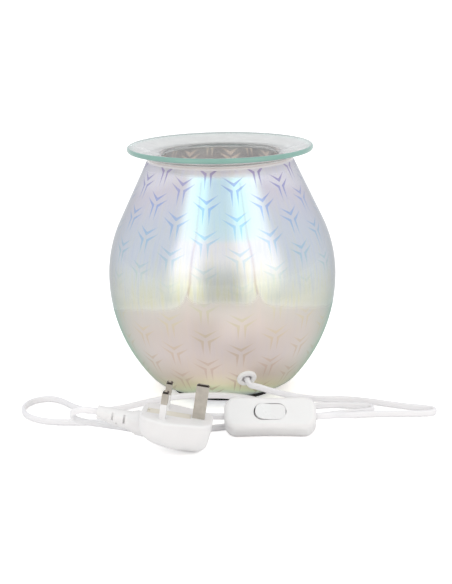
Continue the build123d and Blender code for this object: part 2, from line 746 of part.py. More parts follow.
sections = [
    Pos(0, 0, -plug_depth * depth) * plug_outline(width)
    for depth, width in zip(plug_section_depth_shares, plug_section_width_shares)
]
plug_body = loft(sections)
plug_body = fillet(plug_body.edges().group_by(Axis.Z)[-1], plug_face_round)
for side in (-1, 1):
    grip = Rot(0, 90, 0) * Cylinder(grip_radius, grip_length)
    grip = fillet(grip.edges(), grip_length / 3)
    grip_side = side * (plug_width / 2 + grip_radius - grip_bite)
    plug_body -= Pos(-plug_waist_place + grip_length / 4, grip_side, -grip_depth_place) * grip


def pin(size, root):
    """A flat pin through the plug's face, with a bevelled tip."""
    length, width, height = size
    blade = slab(length, width, -root, height)
    return chamfer(blade.edges().group_by(Axis.Z)[-1], pin_tip)


earth_pin = pin(earth_pin_size, pin_root)
power_pin = pin(power_pin_size, pin_root)
core = [power_pin_size[0] - 2 * sleeve_wall, power_pin_size[1] - 2 * sleeve_wall]
sleeve = slab(power_pin_size[0], power_pin_size[1], 0, sleeve_height)
sleeve -= slab(*core, -overrun, sleeve_height + overrun)
power_pin -= sleeve
power_spots = [Pos(-pin_row, side * pin_pitch / 2, 0) for side in (1, -1)]
line_pin, neutral_pin = [spot * power_pin for spot in power_spots]
pin_sleeves = [spot * sleeve for spot in power_spots]
for blade in (earth_pin, line_pin, neutral_pin):
    plug_body -= blade

# Fuse carrier along the face, between the two power pins
carrier_spot = Pos(-carrier_place, 0, 0) * Rot(0, 0, 90)
pocket = slab(carrier_width + 2 * carrier_room, carrier_length + 2 * carrier_room, -carrier_height - seat_gap - strip_thick, overrun)
plug_body -= carrier_spot * pocket
carrier = slab(carrier_width, carrier_length, -carrier_height, 0)
carrier = fillet(carrier.edges().filter_by(Axis.Z), carrier_wall / 2)
fuse_axis = -carrier_top - fuse_radius - fit_gap
carrier -= slab(
    2 * (fuse_radius + fit_gap),
    fuse_length + 2 * fit_gap,
    -carrier_height - overrun,
    -carrier_top,
)
carrier -= Pos(0, carrier_length / 2, 0) * Box(carrier_notch, carrier_notch, carrier_wall)
fuse_carrier = carrier_spot * carrier
fuse = Rot(90, 0, 0) * Cylinder(fuse_radius - fuse_cap_step, fuse_length)
for side in (-1, 1):
    cap_middle = side * (fuse_length - fuse_cap_length) / 2
    fuse += Pos(0, cap_middle, 0) * Rot(90, 0, 0) * Cylinder(fuse_radius, fuse_cap_length)
fuse = carrier_spot * Pos(0, 0, fuse_axis) * fuse
clip_low = -carrier_height - seat_gap - strip_thick
clip_top = fuse_axis - fuse_radius - seat_gap
clip = slab(clip_width - carrier_wall, clip_length, clip_low, clip_top)
clip_reach = (fuse_length - clip_length) / 2 - seat_gap
fuse_clips = [carrier_spot * Pos(0, side * clip_reach, 0) * clip for side in (-1, 1)]

# Strain relief: rings that get smaller away from the plug, then a tapered sleeve with slots
relief_start = plug_heel - relief_sink
relief_end = plug_heel + relief_length
heel_reach = plug_heel - relief_start
relief_line = [(0, 0)]
for number in range(relief_ring_count):
    ring_radius = relief_ring - number * relief_ring_step
    low = 0 if number == 0 else heel_reach + number * relief_ring_length
    relief_line.append((ring_radius, low))
    relief_line.append((ring_radius, heel_reach + (number + 1) * relief_ring_length))
relief_line += [
    (relief_root, heel_reach + relief_ring_count * relief_ring_length),
    (relief_tail, relief_end - relief_start),
    (0, relief_end - relief_start),
]
plug_relief = turned(Polyline(*relief_line, close=True))
for number in range(relief_slot_count):
    long_place = heel_reach + relief_slot_start + number * relief_slot_pitch
    for reach, along in ((long_slot_reach, long_place), (short_slot_reach, long_place + relief_slot_stagger)):
        low, high = reach
        cutter = Box(high - low, relief_slot_depth * 2, relief_slot_width)
        for side in (-1, 1):
            plug_relief -= Pos((low + high) / 2, side * relief_root, along) * cutter
relief_place = Pos(-relief_start, 0, -relief_axis) * Rot(0, -90, 0)
plug_relief = relief_place * plug_relief
plug_relief -= plug_body

plug_turn = Rot(0, 0, plug_yaw) * Rot(0, plug_lean, 0) * Rot(plug_tilt, 0, 0)
plug_lift = -(plug_turn * plug_body).bounding_box().min.Z
plug_pose = Pos(*plug_place, plug_lift) * plug_turn
print("plug face height", round(plug_lift, 2))

# The cord's two free stretches
switch_right = (switch_place * Pos(cord_seat, 0, 0)).position
switch_left = (switch_place * Pos(-cord_seat, 0, 0)).position
plug_tail = (plug_pose * Pos(-relief_end - fit_gap, 0, -relief_axis)).position
print("grommet exit", grommet_exit, "switch ends", switch_right, switch_left, "plug tail", plug_tail)
exit_end = grommet_plane.from_local_coords((0, 0, grommet_proud + exit_run))
right_end = (switch_place * Pos(cord_seat + switch_run, 0, 0)).position
first_route = [tuple(grommet_exit), tuple(exit_end), *route_lamp_to_switch, tuple(right_end), tuple(switch_right)]
cord_lamp_to_switch = bent_tube("cord, lamp to switch", first_route, cord_radius)
left_start = (switch_place * Pos(-cord_seat - switch_run, 0, 0)).position
tail_start = (plug_pose * Pos(-relief_end - fit_gap - tail_run, 0, -relief_axis)).position
second_route = [tuple(switch_left), tuple(left_start), *route_switch_to_plug, tuple(tail_start), tuple(plug_tail)]
cord_switch_to_plug = bent_tube("cord, switch to plug", second_route, cord_radius)
print("straight runs end at", exit_end, right_end, left_start, tail_start)

save("glass_jar", glass_jar)
save("wax_dish", wax_dish)
save("cord_grommet", grommet)
save("base_disc", base_disc)
save("base_foot_ring", foot_ring)
save("jar_clamp_ring", clamp_ring)
save("jar_clamp_plate", clamp_plate)
save("clamp_screws", *clamp_screws)
save("holder_bracket", holder_bracket)
save("bracket_screws", *bracket_screws)
save("lamp_holder", lamp_holder)
save("holder_screws", *holder_screws)
save("holder_contacts", *holder_contacts)
save("halogen_cap", lamp_cap)
save("halogen_reflector", reflector)
save("halogen_lens", lamp_lens)
save("halogen_capsule", capsule)
save("halogen_studs", *lamp_studs)
save("terminal_block", terminal_block)
save("holder_wires", *holder_wires)
save("lamp_lead", lamp_lead)
save("cord_lamp_to_switch", cord_lamp_to_switch)
save("cord_switch_to_plug", cord_switch_to_plug)
save("switch_upper_shell", switch_place * upper_shell)
save("switch_lower_shell", switch_place * lower_shell)
save("switch_rocker", switch_place * rocker_rest * rocker)
save("rocker_contact", switch_place * rocker_rest * moving_contact)
save("switch_terminals", *[switch_place * piece for piece in switch_terminals])
save("switch_wires", *[switch_place * piece for piece in switch_wires])
save("switch_screws", *[switch_place * piece for piece in shell_screws])
save("plug_body", plug_pose * plug_body)
save("plug_strain_relief", plug_pose * plug_relief)
save("earth_pin", plug_pose * earth_pin)
save("line_pin", plug_pose * line_pin)
save("neutral_pin", plug_pose * neutral_pin)
save("pin_sleeves", *[plug_pose * piece for piece in pin_sleeves])
save("fuse_carrier", plug_pose * fuse_carrier)
save("fuse", plug_pose * fuse)
save("fuse_clips", *[plug_pose * piece for piece in fuse_clips])

rocker_pivot = (switch_place * Pos(0, 0, rocker_axis)).position
rocker_line = Plane(switch_place).y_dir
pull_line = Plane(plug_pose).z_dir
print("rocker pivot", rocker_pivot, "axis", rocker_line)
print("fuse carrier pull", pull_line, "plug face", (plug_pose * Pos(-carrier_place, 0, 0)).position)
print("dish top", round(dish_top, 2), "well floor", round(well_floor, 2), "bowl floor", round(bowl_floor, 2))
print("lamp top", round(reflector_top, 2), "holder top", round(holder_top, 2), "plate top", round(plate_top, 2))
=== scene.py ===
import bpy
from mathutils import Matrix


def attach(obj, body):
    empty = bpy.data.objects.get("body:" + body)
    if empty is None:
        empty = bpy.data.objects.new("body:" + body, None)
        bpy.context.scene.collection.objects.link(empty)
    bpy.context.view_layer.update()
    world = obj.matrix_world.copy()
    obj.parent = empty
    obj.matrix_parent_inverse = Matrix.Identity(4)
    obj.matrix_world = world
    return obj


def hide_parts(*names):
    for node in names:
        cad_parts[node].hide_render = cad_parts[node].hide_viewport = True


bl_info = {
    "name": "Electric Oil Burner",
    "version": (1, 0, 0),
    "blender": (4, 5, 0),
    "location": "3D Viewport > Sidebar > Burner",
    "description": "Dresses an electric oil burner: mirrored jar, wax dish, cord, switch and plug",
    "category": "Object",
}

import bmesh
import bpy
from math import asin, atan2, ceil, cos, degrees, pi, radians, sin, sqrt, tan
from mathutils import Matrix, Vector

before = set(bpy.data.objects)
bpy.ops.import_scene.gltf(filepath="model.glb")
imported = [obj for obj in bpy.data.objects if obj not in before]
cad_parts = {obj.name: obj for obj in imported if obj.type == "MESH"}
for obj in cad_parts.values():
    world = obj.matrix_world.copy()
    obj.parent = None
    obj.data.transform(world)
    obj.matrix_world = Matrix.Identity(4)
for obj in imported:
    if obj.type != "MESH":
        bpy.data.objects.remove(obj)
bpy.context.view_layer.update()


def in_metres(*points):
    """Points given in millimetres."""
    return [tuple(round(value / 1000, 6) for value in point) for point in points]


# Routes of the cord's two stretches, in millimetres: the points of the part's source, but the hump behind
# the switch and the tail into the plug are raised to follow the photograph

LAMP_TO_SWITCH = in_metres(
    (15.7, -63.26, 23.22), (16.7, -67.3, 20.5), (22, -70, 20.4), (28.2, -69.8, 18), (34.6, -66.9, 15),
    (42.4, -61.6, 11.4), (51.2, -55, 7.4), (61.2, -49.4, 4.2), (72, -45.6, 2.2), (85.5, -46, 2.2),
    (99.5, -51.2, 2.2), (114, -59.2, 2.2), (127.5, -66, 2.2), (137.5, -68.8, 2.2), (143.8, -72.6, 2.2),
    (143.4, -79, 2.2), (136.8, -81.2, 2.2), (124.5, -80.6, 2.2), (110, -80.4, 2.2), (96, -80, 2.2),
    (85, -84, 3), (77.4, -93, 6.2), (73.2, -104.4, 10.2), (66.66, -115.01, 13.27), (58.07, -114.64, 13.27),
)
SWITCH_TO_PLUG = in_metres(
    (1.33, -112.16, 13.27), (-7.26, -111.79, 13.27), (-13.8, -104.2, 11.4), (-21.4, -96.6, 7.2),
    (-31.5, -91.4, 3.6), (-43.5, -88.6, 2.2), (-57.5, -87.8, 2.2), (-72.5, -86.4, 2.2), (-87, -86.8, 2.2),
    (-101, -85.6, 2.2), (-114, -84.8, 2.2), (-125, -81.2, 2.2), (-133.6, -73.8, 2.2), (-139.4, -63.6, 2.2),
    (-141.2, -52, 2.2), (-138.6, -41, 2.2), (-131.4, -33.2, 2.2), (-121.4, -32.6, 2.2), (-113, -41.4, 2.2),
    (-105.6, -52.6, 2.2), (-96.4, -61, 2.2), (-84.4, -62.4, 2.2), (-71.4, -56.8, 2.2), (-57.6, -53.8, 4.6),
    (-43.6, -55.2, 7.8), (-30, -57, 10.2), (-16, -57.8, 10.6), (-3, -58, 10.6), (9.6, -58.8, 9.6),
    (22, -61.6, 7.8), (34, -65.2, 5), (47, -65.4, 2.8), (60, -60.6, 2.2), (73, -58.4, 2.2), (85, -60, 2.2),
    (94.4, -61.8, 2.2), (101.4, -65.2, 2.2), (102, -71.6, 2.2), (95.8, -74.4, 2.2), (84, -75.2, 2.2),
    (70.5, -79.4, 2.2), (56.5, -84.6, 2.2), (42, -89.4, 2.2), (27.5, -93, 2.2), (13, -97.2, 2.2),
    (-1, -100.6, 2.2), (-14.5, -104.8, 2.2), (-29, -107, 2.2), (-43.5, -108.2, 2.2), (-57.5, -109.4, 4),
    (-70, -113.2, 7.8), (-81.4, -117.4, 11.2), (-90.6, -121.4, 14.2), (-97.4, -125, 17.6),
    (-100, -129.2, 22.2), (-96.4, -132.6, 26), (-89.38, -134.17, 27.45), (-82, -134.8, 25.84),
)


# Mesh helpers


def piece(name, mesh, material, body="burner", sharp=40):
    """Puts a mesh in the scene as a smooth shaded piece that rides on a body."""
    for polygon in mesh.polygons:
        polygon.use_smooth = True
    mesh.set_sharp_from_angle(angle=radians(sharp))
    mesh.materials.append(material)
    thing = bpy.data.objects.new(name, mesh)
    bpy.context.scene.collection.objects.link(thing)
    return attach(thing, body)


def arc(centre, radius, start, end, count):
    """Points of an arc of radius and height, by angle in degrees, with both ends."""
    steps = [radians(start + (end - start) * i / count) for i in range(count + 1)]
    return [(centre[0] + radius * cos(a), centre[1] + radius * sin(a)) for a in steps]


def turned(name, outline, segments):
    """A closed mesh turned about Z from a closed line of radius and height."""
    bm = bmesh.new()
    rings = []
    for radius, height in outline:
        if radius < 1e-6:
            rings.append([bm.verts.new((0, 0, height))])
            continue
        turn = [2 * pi * i / segments for i in range(segments)]
        rings.append([bm.verts.new((radius * sin(a), -radius * cos(a), height)) for a in turn])
    for ring, following in zip(rings, rings[1:] + rings[:1]):
        for i in range(segments):
            j = (i + 1) % segments
            if len(ring) > 1 and len(following) > 1:
                bm.faces.new((ring[i], ring[j], following[j], following[i]))
            elif len(following) > 1:
                bm.faces.new((ring[0], following[j], following[i]))
            elif len(ring) > 1:
                bm.faces.new((ring[i], ring[j], following[0]))
    bmesh.ops.recalc_face_normals(bm, faces=bm.faces)
    mesh = bpy.data.meshes.new(name)
    bm.to_mesh(mesh)
    bm.free()
    return mesh


# Shader helpers


def node(tree, kind, inputs=None, **settings):
    """Adds a node, sets its options and feeds its inputs with values or sockets."""
    made = tree.nodes.new(kind)
    for key, value in settings.items():
        setattr(made, key, value)
    for key, value in (inputs or {}).items():
        if isinstance(value, bpy.types.NodeSocket):
            tree.links.new(value, made.inputs[key])
        else:
            made.inputs[key].default_value = value
    return made


def calc(tree, operation, *values, clamp=False):
    """One arithmetic step of a node tree."""
    inputs = dict(enumerate(values))
    return node(tree, "ShaderNodeMath", inputs, operation=operation, use_clamp=clamp).outputs[0]


def times(tree, first, *others):
    """The product of some values."""
    for value in others:
        first = calc(tree, "MULTIPLY", first, value)
    return first


def plus(tree, first, *others):
    """The sum of some values."""
    for value in others:
        first = calc(tree, "ADD", first, value)
    return first


def mix(tree, factor, first, second, blend="MIX"):
    """Mixes two colours by a factor."""
    made = node(tree, "ShaderNodeMix", data_type="RGBA", blend_type=blend)
    for place, value in ((0, factor), (6, first), (7, second)):
        if isinstance(value, bpy.types.NodeSocket):
            tree.links.new(value, made.inputs[place])
        else:
            made.inputs[place].default_value = value
    return made.outputs[2]


def ramp(tree, factor, *stops):
    """A colour, or a grey given as one number, that changes along a factor: pairs of place and colour."""
    made = node(tree, "ShaderNodeValToRGB", {"Fac": factor})
    elements = made.color_ramp.elements
    elements.remove(elements[-1])
    for i, (place, colour) in enumerate(stops):
        element = elements.new(place) if i else elements[0]
        element.position = place
        element.color = (*((colour,) * 3 if isinstance(colour, (int, float)) else colour), 1)
    return made.outputs["Color"]


def axes_of(tree, place):
    """The three coordinates of a place."""
    return node(tree, "ShaderNodeSeparateXYZ", {0: place}).outputs


def noise(tree, place, size, detail=3.0):
    """Soft random grain whose grains are about a size in metres."""
    inputs = {"Vector": place, "Scale": 1 / size, "Detail": detail}
    return node(tree, "ShaderNodeTexNoise", inputs).outputs["Fac"]


def from_axis(tree, axes):
    """The distance of a place from the jar's axis."""
    squares = [calc(tree, "POWER", axes[i], 2.0) for i in (0, 1)]
    return calc(tree, "SQRT", plus(tree, *squares))


def off_front(tree, axes):
    """The angle between a direction and the front, to either side, in radians."""
    return calc(tree, "ABSOLUTE", calc(tree, "ARCTAN2", axes[0], times(tree, axes[1], -1.0)))


def bump(tree, height, strength, distance):
    """A normal that follows a height."""
    inputs = {"Height": height, "Strength": strength, "Distance": distance}
    return node(tree, "ShaderNodeBump", inputs).outputs["Normal"]


def group(name, inputs, outputs):
    """A node group with named sockets, made once, and its two end nodes."""
    tree = bpy.data.node_groups.new(name, "ShaderNodeTree")
    for title, kind, value in inputs:
        socket = tree.interface.new_socket(title, in_out="INPUT", socket_type="NodeSocket" + kind)
        if value is not None:
            socket.default_value = value
    for title, kind in outputs:
        tree.interface.new_socket(title, in_out="OUTPUT", socket_type="NodeSocket" + kind)
    return tree, tree.nodes.new("NodeGroupInput"), tree.nodes.new("NodeGroupOutput")


def use_group(tree, name, **values):
    """Places a node group in a material with its own values."""
    made = tree.nodes.new("ShaderNodeGroup")
    made.node_tree = bpy.data.node_groups[name]
    for key, value in values.items():
        socket = made.inputs[key.replace("_", " ").capitalize()]
        if isinstance(value, bpy.types.NodeSocket):
            tree.links.new(value, socket)
        else:
            socket.default_value = value
    return made


def material(name, **values):
    """A material with a Principled shader, its tree, and the place on the object."""
    made = bpy.data.materials.new(name)
    made.use_nodes = True
    tree = made.node_tree
    shader = tree.nodes["Principled BSDF"]
    for key, value in values.items():
        shader.inputs[key.replace("_", " ")].default_value = value
    place = node(tree, "ShaderNodeTexCoord").outputs["Object"]
    return made, tree, shader, place


def feed(tree, shader, **sockets):
    """Links sockets to a shader's inputs."""
    for key, socket in sockets.items():
        tree.links.new(socket, shader.inputs[key.replace("_", " ")])


def make_surface_group():
    """Moulded or cast surface: a colour that varies a little, its roughness and a fine grain."""
    inputs = [
        ("Place", "Vector", None),
        ("Colour", "Color", (0.8, 0.8, 0.8, 1)),
        ("Shade", "Color", (0.7, 0.7, 0.7, 1)),
        ("Patch size", "Float", 0.01),
        ("Grain size", "Float", 0.0005),
        ("Roughness", "Float", 0.4),
        ("Spread", "Float", 0.1),
    ]
    outputs = [("Colour", "Color"), ("Roughness", "Float"), ("Height", "Float")]
    tree, start, end = group("Burner surface", inputs, outputs)
    value = start.outputs
    patch, grain = (
        node(tree, "ShaderNodeTexNoise", {
            "Vector": value["Place"], "Scale": calc(tree, "DIVIDE", 1.0, value[size]), "Detail": detail,
        }).outputs["Fac"]
        for size, detail in (("Patch size", 3.0), ("Grain size", 2.0))
    )
    share = calc(tree, "MULTIPLY_ADD", calc(tree, "SUBTRACT", patch, 0.5), 2.0, 0.35, clamp=True)
    colour = mix(tree, share, value["Colour"], value["Shade"])
    offset = times(tree, calc(tree, "SUBTRACT", patch, 0.5), value["Spread"])
    rough = calc(tree, "ADD", value["Roughness"], offset, clamp=True)
    tree.links.new(colour, end.inputs["Colour"])
    tree.links.new(rough, end.inputs["Roughness"])
    tree.links.new(grain, end.inputs["Height"])


def moulded(name, colour, shade, roughness, spread=0.1, patch=0.012, grain=0.0006, depth=0.00002, **values):
    """A finished material from the shared surface group. The shade is a colour or a share of the colour."""
    if isinstance(shade, float):
        shade = [c * shade for c in colour]
    made, tree, shader, place = material(name, **values)
    surface = use_group(
        tree, "Burner surface", place=place, colour=(*colour, 1), shade=(*shade, 1),
        patch_size=patch, grain_size=grain, roughness=roughness, spread=spread,
    )
    feed(tree, shader, Base_Color=surface.outputs["Colour"], Roughness=surface.outputs["Roughness"],
         Normal=bump(tree, surface.outputs["Height"], 0.4, depth))
    return made


def make_chevron_group():
    """Three tapered chevrons round each centre of a lattice of columns: a mask for the jar's lines."""
    inputs = [
        ("Place", "Vector", None),
        ("Column turn", "Float", 18.0),
        ("Row height", "Float", 0.0221),
        ("First row", "Float", 0.0447),
        ("Arm length", "Float", 0.0110),
        ("Arm width", "Float", 0.00105),
        ("Opening", "Float", 0.0027),
        ("Softness", "Float", 0.00022),
    ]
    tree, start, end = group("Burner chevrons", inputs, [("Mask", "Float")])
    value = start.outputs
    axes = axes_of(tree, value["Place"])
    radius = from_axis(tree, axes)
    angle = calc(tree, "ARCTAN2", axes[0], times(tree, axes[1], -1.0))
    step = calc(tree, "RADIANS", value["Column turn"])
    column = calc(tree, "FLOOR", calc(tree, "DIVIDE", angle, step))
    middle = times(tree, plus(tree, column, 0.5), step)
    reach = calc(tree, "MULTIPLY_ADD", radius, 0.5, 0.038)
    across = times(tree, calc(tree, "SUBTRACT", angle, middle), reach)
    odd = calc(tree, "FLOORED_MODULO", column, 2.0)
    shift = times(tree, odd, 0.5, value["Row height"])
    above = calc(tree, "SUBTRACT", axes[2], plus(tree, value["First row"], shift))
    rows = plus(tree, calc(tree, "DIVIDE", above, value["Row height"]), 0.5)
    up = times(tree, calc(tree, "SUBTRACT", calc(tree, "FRACT", rows), 0.5), value["Row height"])
    half, most = sin(radians(30)), cos(radians(30))
    mask = None
    for turn in (0, 120, 240):
        c, s = cos(radians(turn)), sin(radians(turn))
        u = plus(tree, times(tree, across, c), times(tree, up, s))
        v = calc(tree, "SUBTRACT", times(tree, up, c), times(tree, across, s))
        u = calc(tree, "ABSOLUTE", u)
        v = calc(tree, "SUBTRACT", v, value["Opening"])
        along = plus(tree, times(tree, u, most), times(tree, v, half))
        off = calc(tree, "SUBTRACT", times(tree, v, most), times(tree, u, half))
        share = calc(tree, "SUBTRACT", 1.0, calc(tree, "DIVIDE", along, value["Arm length"]))
        width = times(tree, share, value["Arm width"])
        inside = calc(tree, "SUBTRACT", width, calc(tree, "ABSOLUTE", off))
        edge = calc(tree, "ADD", calc(tree, "DIVIDE", inside, value["Softness"]), 0.3, clamp=True)
        edge = calc(tree, "MULTIPLY", edge, calc(tree, "MULTIPLY_ADD", share, 0.7, 0.5, clamp=True))
        mask = edge if mask is None else calc(tree, "MAXIMUM", mask, edge)
    tree.links.new(mask, end.inputs["Mask"])


# Properties: the sizes and colours that a user would change


class BurnerJar(bpy.types.PropertyGroup):
    radius: bpy.props.FloatProperty(
        name="Radius", description="Half of the jar's greatest width", default=0.0815, unit="LENGTH")
    height: bpy.props.FloatProperty(
        name="Height", description="Height of the jar's lip over the table", default=0.1698, unit="LENGTH")
    belly: bpy.props.FloatProperty(
        name="Belly height", description="Height of the widest place", default=0.0843, unit="LENGTH")
    foot_radius: bpy.props.FloatProperty(
        name="Foot radius", description="Half of the jar's width at its foot", default=0.0474, unit="LENGTH")
    lip_radius: bpy.props.FloatProperty(
        name="Lip radius", description="Half of the mouth's outer width", default=0.0506, unit="LENGTH")
    bend_share: bpy.props.FloatProperty(
        name="Shoulder bend", description="Share of the shoulder's height that its bend takes up",
        default=0.246)
    bare_lip: bpy.props.FloatProperty(
        name="Bare lip", description="Height of the uncoated lip", default=0.0026, unit="LENGTH")
    wall: bpy.props.FloatProperty(
        name="Wall", description="Thickness of the blown glass", default=0.0026, unit="LENGTH")
    segments: bpy.props.IntProperty(
        name="Segments", description="Faces round the jar", default=192, min=24)
    roughness: bpy.props.FloatProperty(
        name="Roughness", description="Blur of the mirrored coat",
        default=0.09, subtype="FACTOR", min=0, max=1)


class BurnerDish(bpy.types.PropertyGroup):
    radius: bpy.props.FloatProperty(
        name="Radius", description="Half of the dish's width", default=0.0658, unit="LENGTH")
    tint: bpy.props.FloatVectorProperty(
        name="Edge tint", description="Green of the glass's edge",
        subtype="COLOR", default=(0.21, 0.39, 0.34))
    well: bpy.props.FloatProperty(
        name="Well radius", description="Where the flange begins", default=0.0458, unit="LENGTH")
    edge_band: bpy.props.FloatProperty(
        name="Edge band", description="Width of the ground rim", default=0.0009, unit="LENGTH")


class BurnerCord(bpy.types.PropertyGroup):
    width: bpy.props.FloatProperty(
        name="Width", description="Width of the flat twin cord", default=0.0042, unit="LENGTH")
    thickness: bpy.props.FloatProperty(
        name="Thickness", description="Thickness of the flat twin cord", default=0.0030, unit="LENGTH")
    colour: bpy.props.FloatVectorProperty(
        name="Colour", description="Colour of the cord's jacket", subtype="COLOR", default=(0.87, 0.87, 0.89))


class BurnerFittings(bpy.types.PropertyGroup):
    plastic: bpy.props.FloatVectorProperty(
        name="White plastic", description="Colour of the switch and the plug", subtype="COLOR",
        default=(0.82, 0.82, 0.825))
    carrier: bpy.props.FloatVectorProperty(
        name="Fuse carrier", description="Colour of the fuse carrier",
        subtype="COLOR", default=(0.76, 0.73, 0.64))
    relief_start: bpy.props.FloatProperty(
        name="Relief bend", description="Where the strain relief starts to bend up",
        default=-0.054, unit="LENGTH")
    relief_lift: bpy.props.FloatProperty(
        name="Relief lift", description="How far the strain relief's tail bends up",
        default=0.0032, unit="LENGTH")
    nickel: bpy.props.FloatVectorProperty(
        name="Pins", description="Colour of the nickel plated pins",
        subtype="COLOR", default=(0.56, 0.52, 0.46))


class BurnerStage(bpy.types.PropertyGroup):
    distance: bpy.props.FloatProperty(
        name="Distance", description="From the jar's axis to the camera, along the floor", default=1.05248,
        unit="LENGTH")
    height: bpy.props.FloatProperty(
        name="Height", description="Height of the camera over the table", default=0.33155, unit="LENGTH")
    pitch: bpy.props.FloatProperty(
        name="Pitch", description="How far the camera looks down", default=0.243515, subtype="ANGLE")
    roll: bpy.props.FloatProperty(
        name="Roll", description="Turn of the camera about its view", default=-0.019184, subtype="ANGLE")
    lens: bpy.props.FloatProperty(
        name="Lens", description="Focal length in millimetres", default=92.42)
    lamp: bpy.props.FloatProperty(
        name="Lamps", description="Brightness of the tall lamps, where 1 is white", default=0.62)
    lamp_height: bpy.props.FloatProperty(
        name="Lamp height", description="Height of the tall lamps", default=0.56, unit="LENGTH")
    lamp_distance: bpy.props.FloatProperty(
        name="Lamp distance", description="From the jar's axis to the tall lamps",
        default=0.42, unit="LENGTH")


# Operators: the stage, then one for each piece or group of like pieces


class BURNER_OT_stage(bpy.types.Operator):
    """Sets up the camera, the pale floor, the world and the lamps"""

    bl_idname = "burner.stage"
    bl_label = "Stage"

    def execute(self, context):
        values = context.scene.burner_stage
        scene = context.scene
        scene.view_settings.view_transform = "Standard"
        side_step, frame_height = 3.29, 584  # pixels that the jar stands off the middle, and of the picture
        eye = bpy.data.cameras.new("Camera")
        eye.lens = values.lens
        eye.sensor_width = 36
        eye.shift_x = side_step / frame_height
        eye.clip_end = 50
        camera = bpy.data.objects.new("Camera", eye)
        turn = Matrix.Rotation(pi / 2 - values.pitch, 4, "X") @ Matrix.Rotation(values.roll, 4, "Z")
        camera.matrix_world = Matrix.Translation((0, -values.distance, values.height)) @ turn
        scene.collection.objects.link(camera)
        scene.camera = camera
        self.floor(scene)
        self.world(scene)
        self.lamps(scene, values)
        return {"FINISHED"}

    def floor(self, scene):
        """A white floor that keeps the object's shadow. Its far part is only what the mirrored jar shows."""
        reach, drop = 8, 0.0001
        shown_white = 0.46  # glow that brings the floor up to white where the camera sees it
        made, tree, shader, place = material("floor_white", Roughness=0.9)
        shader.inputs["Specular IOR Level"].default_value = 0.1
        speck = ramp(tree, noise(tree, place, 0.4), (0.3, 0.93), (0.7, 0.96))
        path = node(tree, "ShaderNodeLightPath").outputs
        seen = calc(tree, "MAXIMUM", path["Is Camera Ray"], path["Is Transmission Ray"])
        radius = node(tree, "ShaderNodeVectorMath", {0: place}, operation="LENGTH").outputs["Value"]
        far = ramp(tree, radius, (0.27, 0.0), (0.38, 1.0))
        mirrored = times(tree, far, path["Is Glossy Ray"])
        beyond, seam = self.round_the_room(tree, off_front(tree, axes_of(tree, place)))
        feed(tree, shader, Base_Color=mix(tree, mirrored, speck, (0, 0, 0, 1)),
             Emission_Color=mix(tree, mirrored, (1, 1, 1, 1), mix(tree, 1.0, beyond, seam, "MULTIPLY")),
             Emission_Strength=plus(tree, times(tree, seen, shown_white), mirrored))
        bm = bmesh.new()
        bmesh.ops.create_grid(bm, x_segments=8, y_segments=8, size=reach)
        mesh = bpy.data.meshes.new("floor")
        bm.to_mesh(mesh)
        bm.free()
        mesh.materials.append(made)
        floor = bpy.data.objects.new("floor", mesh)
        floor.location.z = -drop
        scene.collection.objects.link(floor)

    def world(self, scene):
        """A pale room with a greyer card at its front, a turquoise patch above it and two thin seams."""
        turquoise = (0.42, 1.08, 1.19, 1)
        world = bpy.data.worlds.new("studio")
        world.use_nodes = True
        scene.world = world
        tree = world.node_tree
        light = tree.nodes["Background"]
        axes = axes_of(tree, node(tree, "ShaderNodeTexCoord").outputs["Generated"])
        height = axes["Z"]
        aside = off_front(tree, axes)
        beyond, seam = self.round_the_room(tree, aside)
        path = node(tree, "ShaderNodeLightPath").outputs
        rise = calc(tree, "MULTIPLY_ADD", height, 0.5, 0.5)
        room = ramp(
            tree, rise, (0.5, (0.93, 0.93, 0.95)), (0.62, (0.90, 0.91, 0.94)), (1.0, (0.94, 0.94, 0.96)))
        front = ramp(tree, aside, (0.28, 1.0), (0.50, 0.0))
        card = ramp(tree, height, (0.0, (0.70, 0.70, 0.71)), (0.14, 0.78), (0.36, (1.20, 1.11, 1.05)))
        room = mix(tree, front, room, card)
        level = ramp(tree, height, (0.58, 0.0), (0.72, 1.0), (0.88, 1.0), (0.96, 0.0))
        width = ramp(tree, calc(tree, "ABSOLUTE", axes[0]), (0.42, 1.0), (0.66, 0.0))
        ahead = ramp(tree, calc(tree, "MULTIPLY_ADD", axes[1], -1.0, 0.5), (0.45, 0.0), (0.60, 1.0))
        above = times(tree, level, width, ahead, path["Is Glossy Ray"])
        room = mix(tree, above, room, turquoise)
        foot = ramp(tree, height, (0.0, 1.0), (0.10, 0.0))
        room = mix(tree, 1.0, mix(tree, foot, room, beyond), seam, "MULTIPLY")
        seen = calc(tree, "MAXIMUM", path["Is Camera Ray"], path["Is Transmission Ray"])
        tree.links.new(mix(tree, seen, room, (1, 1, 1, 1)), light.inputs["Color"])
        light.inputs["Strength"].default_value = 1.0

    def round_the_room(self, tree, aside):
        """The shade of the far floor and of the two seams, by the angle off the front."""
        seam_angle = 0.56
        beyond = ramp(tree, aside, (0.20, (0.70, 0.70, 0.71)), (0.42, (1.02, 1.02, 1.0)),
                      (0.62, (1.07, 1.07, 1.03)), (0.88, (0.96, 0.97, 0.92)), (1.0, 0.93))
        off_seam = calc(tree, "ABSOLUTE", calc(tree, "SUBTRACT", aside, seam_angle))
        return beyond, ramp(tree, off_seam, (0.008, (0.62, 0.50, 0.60)), (0.026, 1.0))

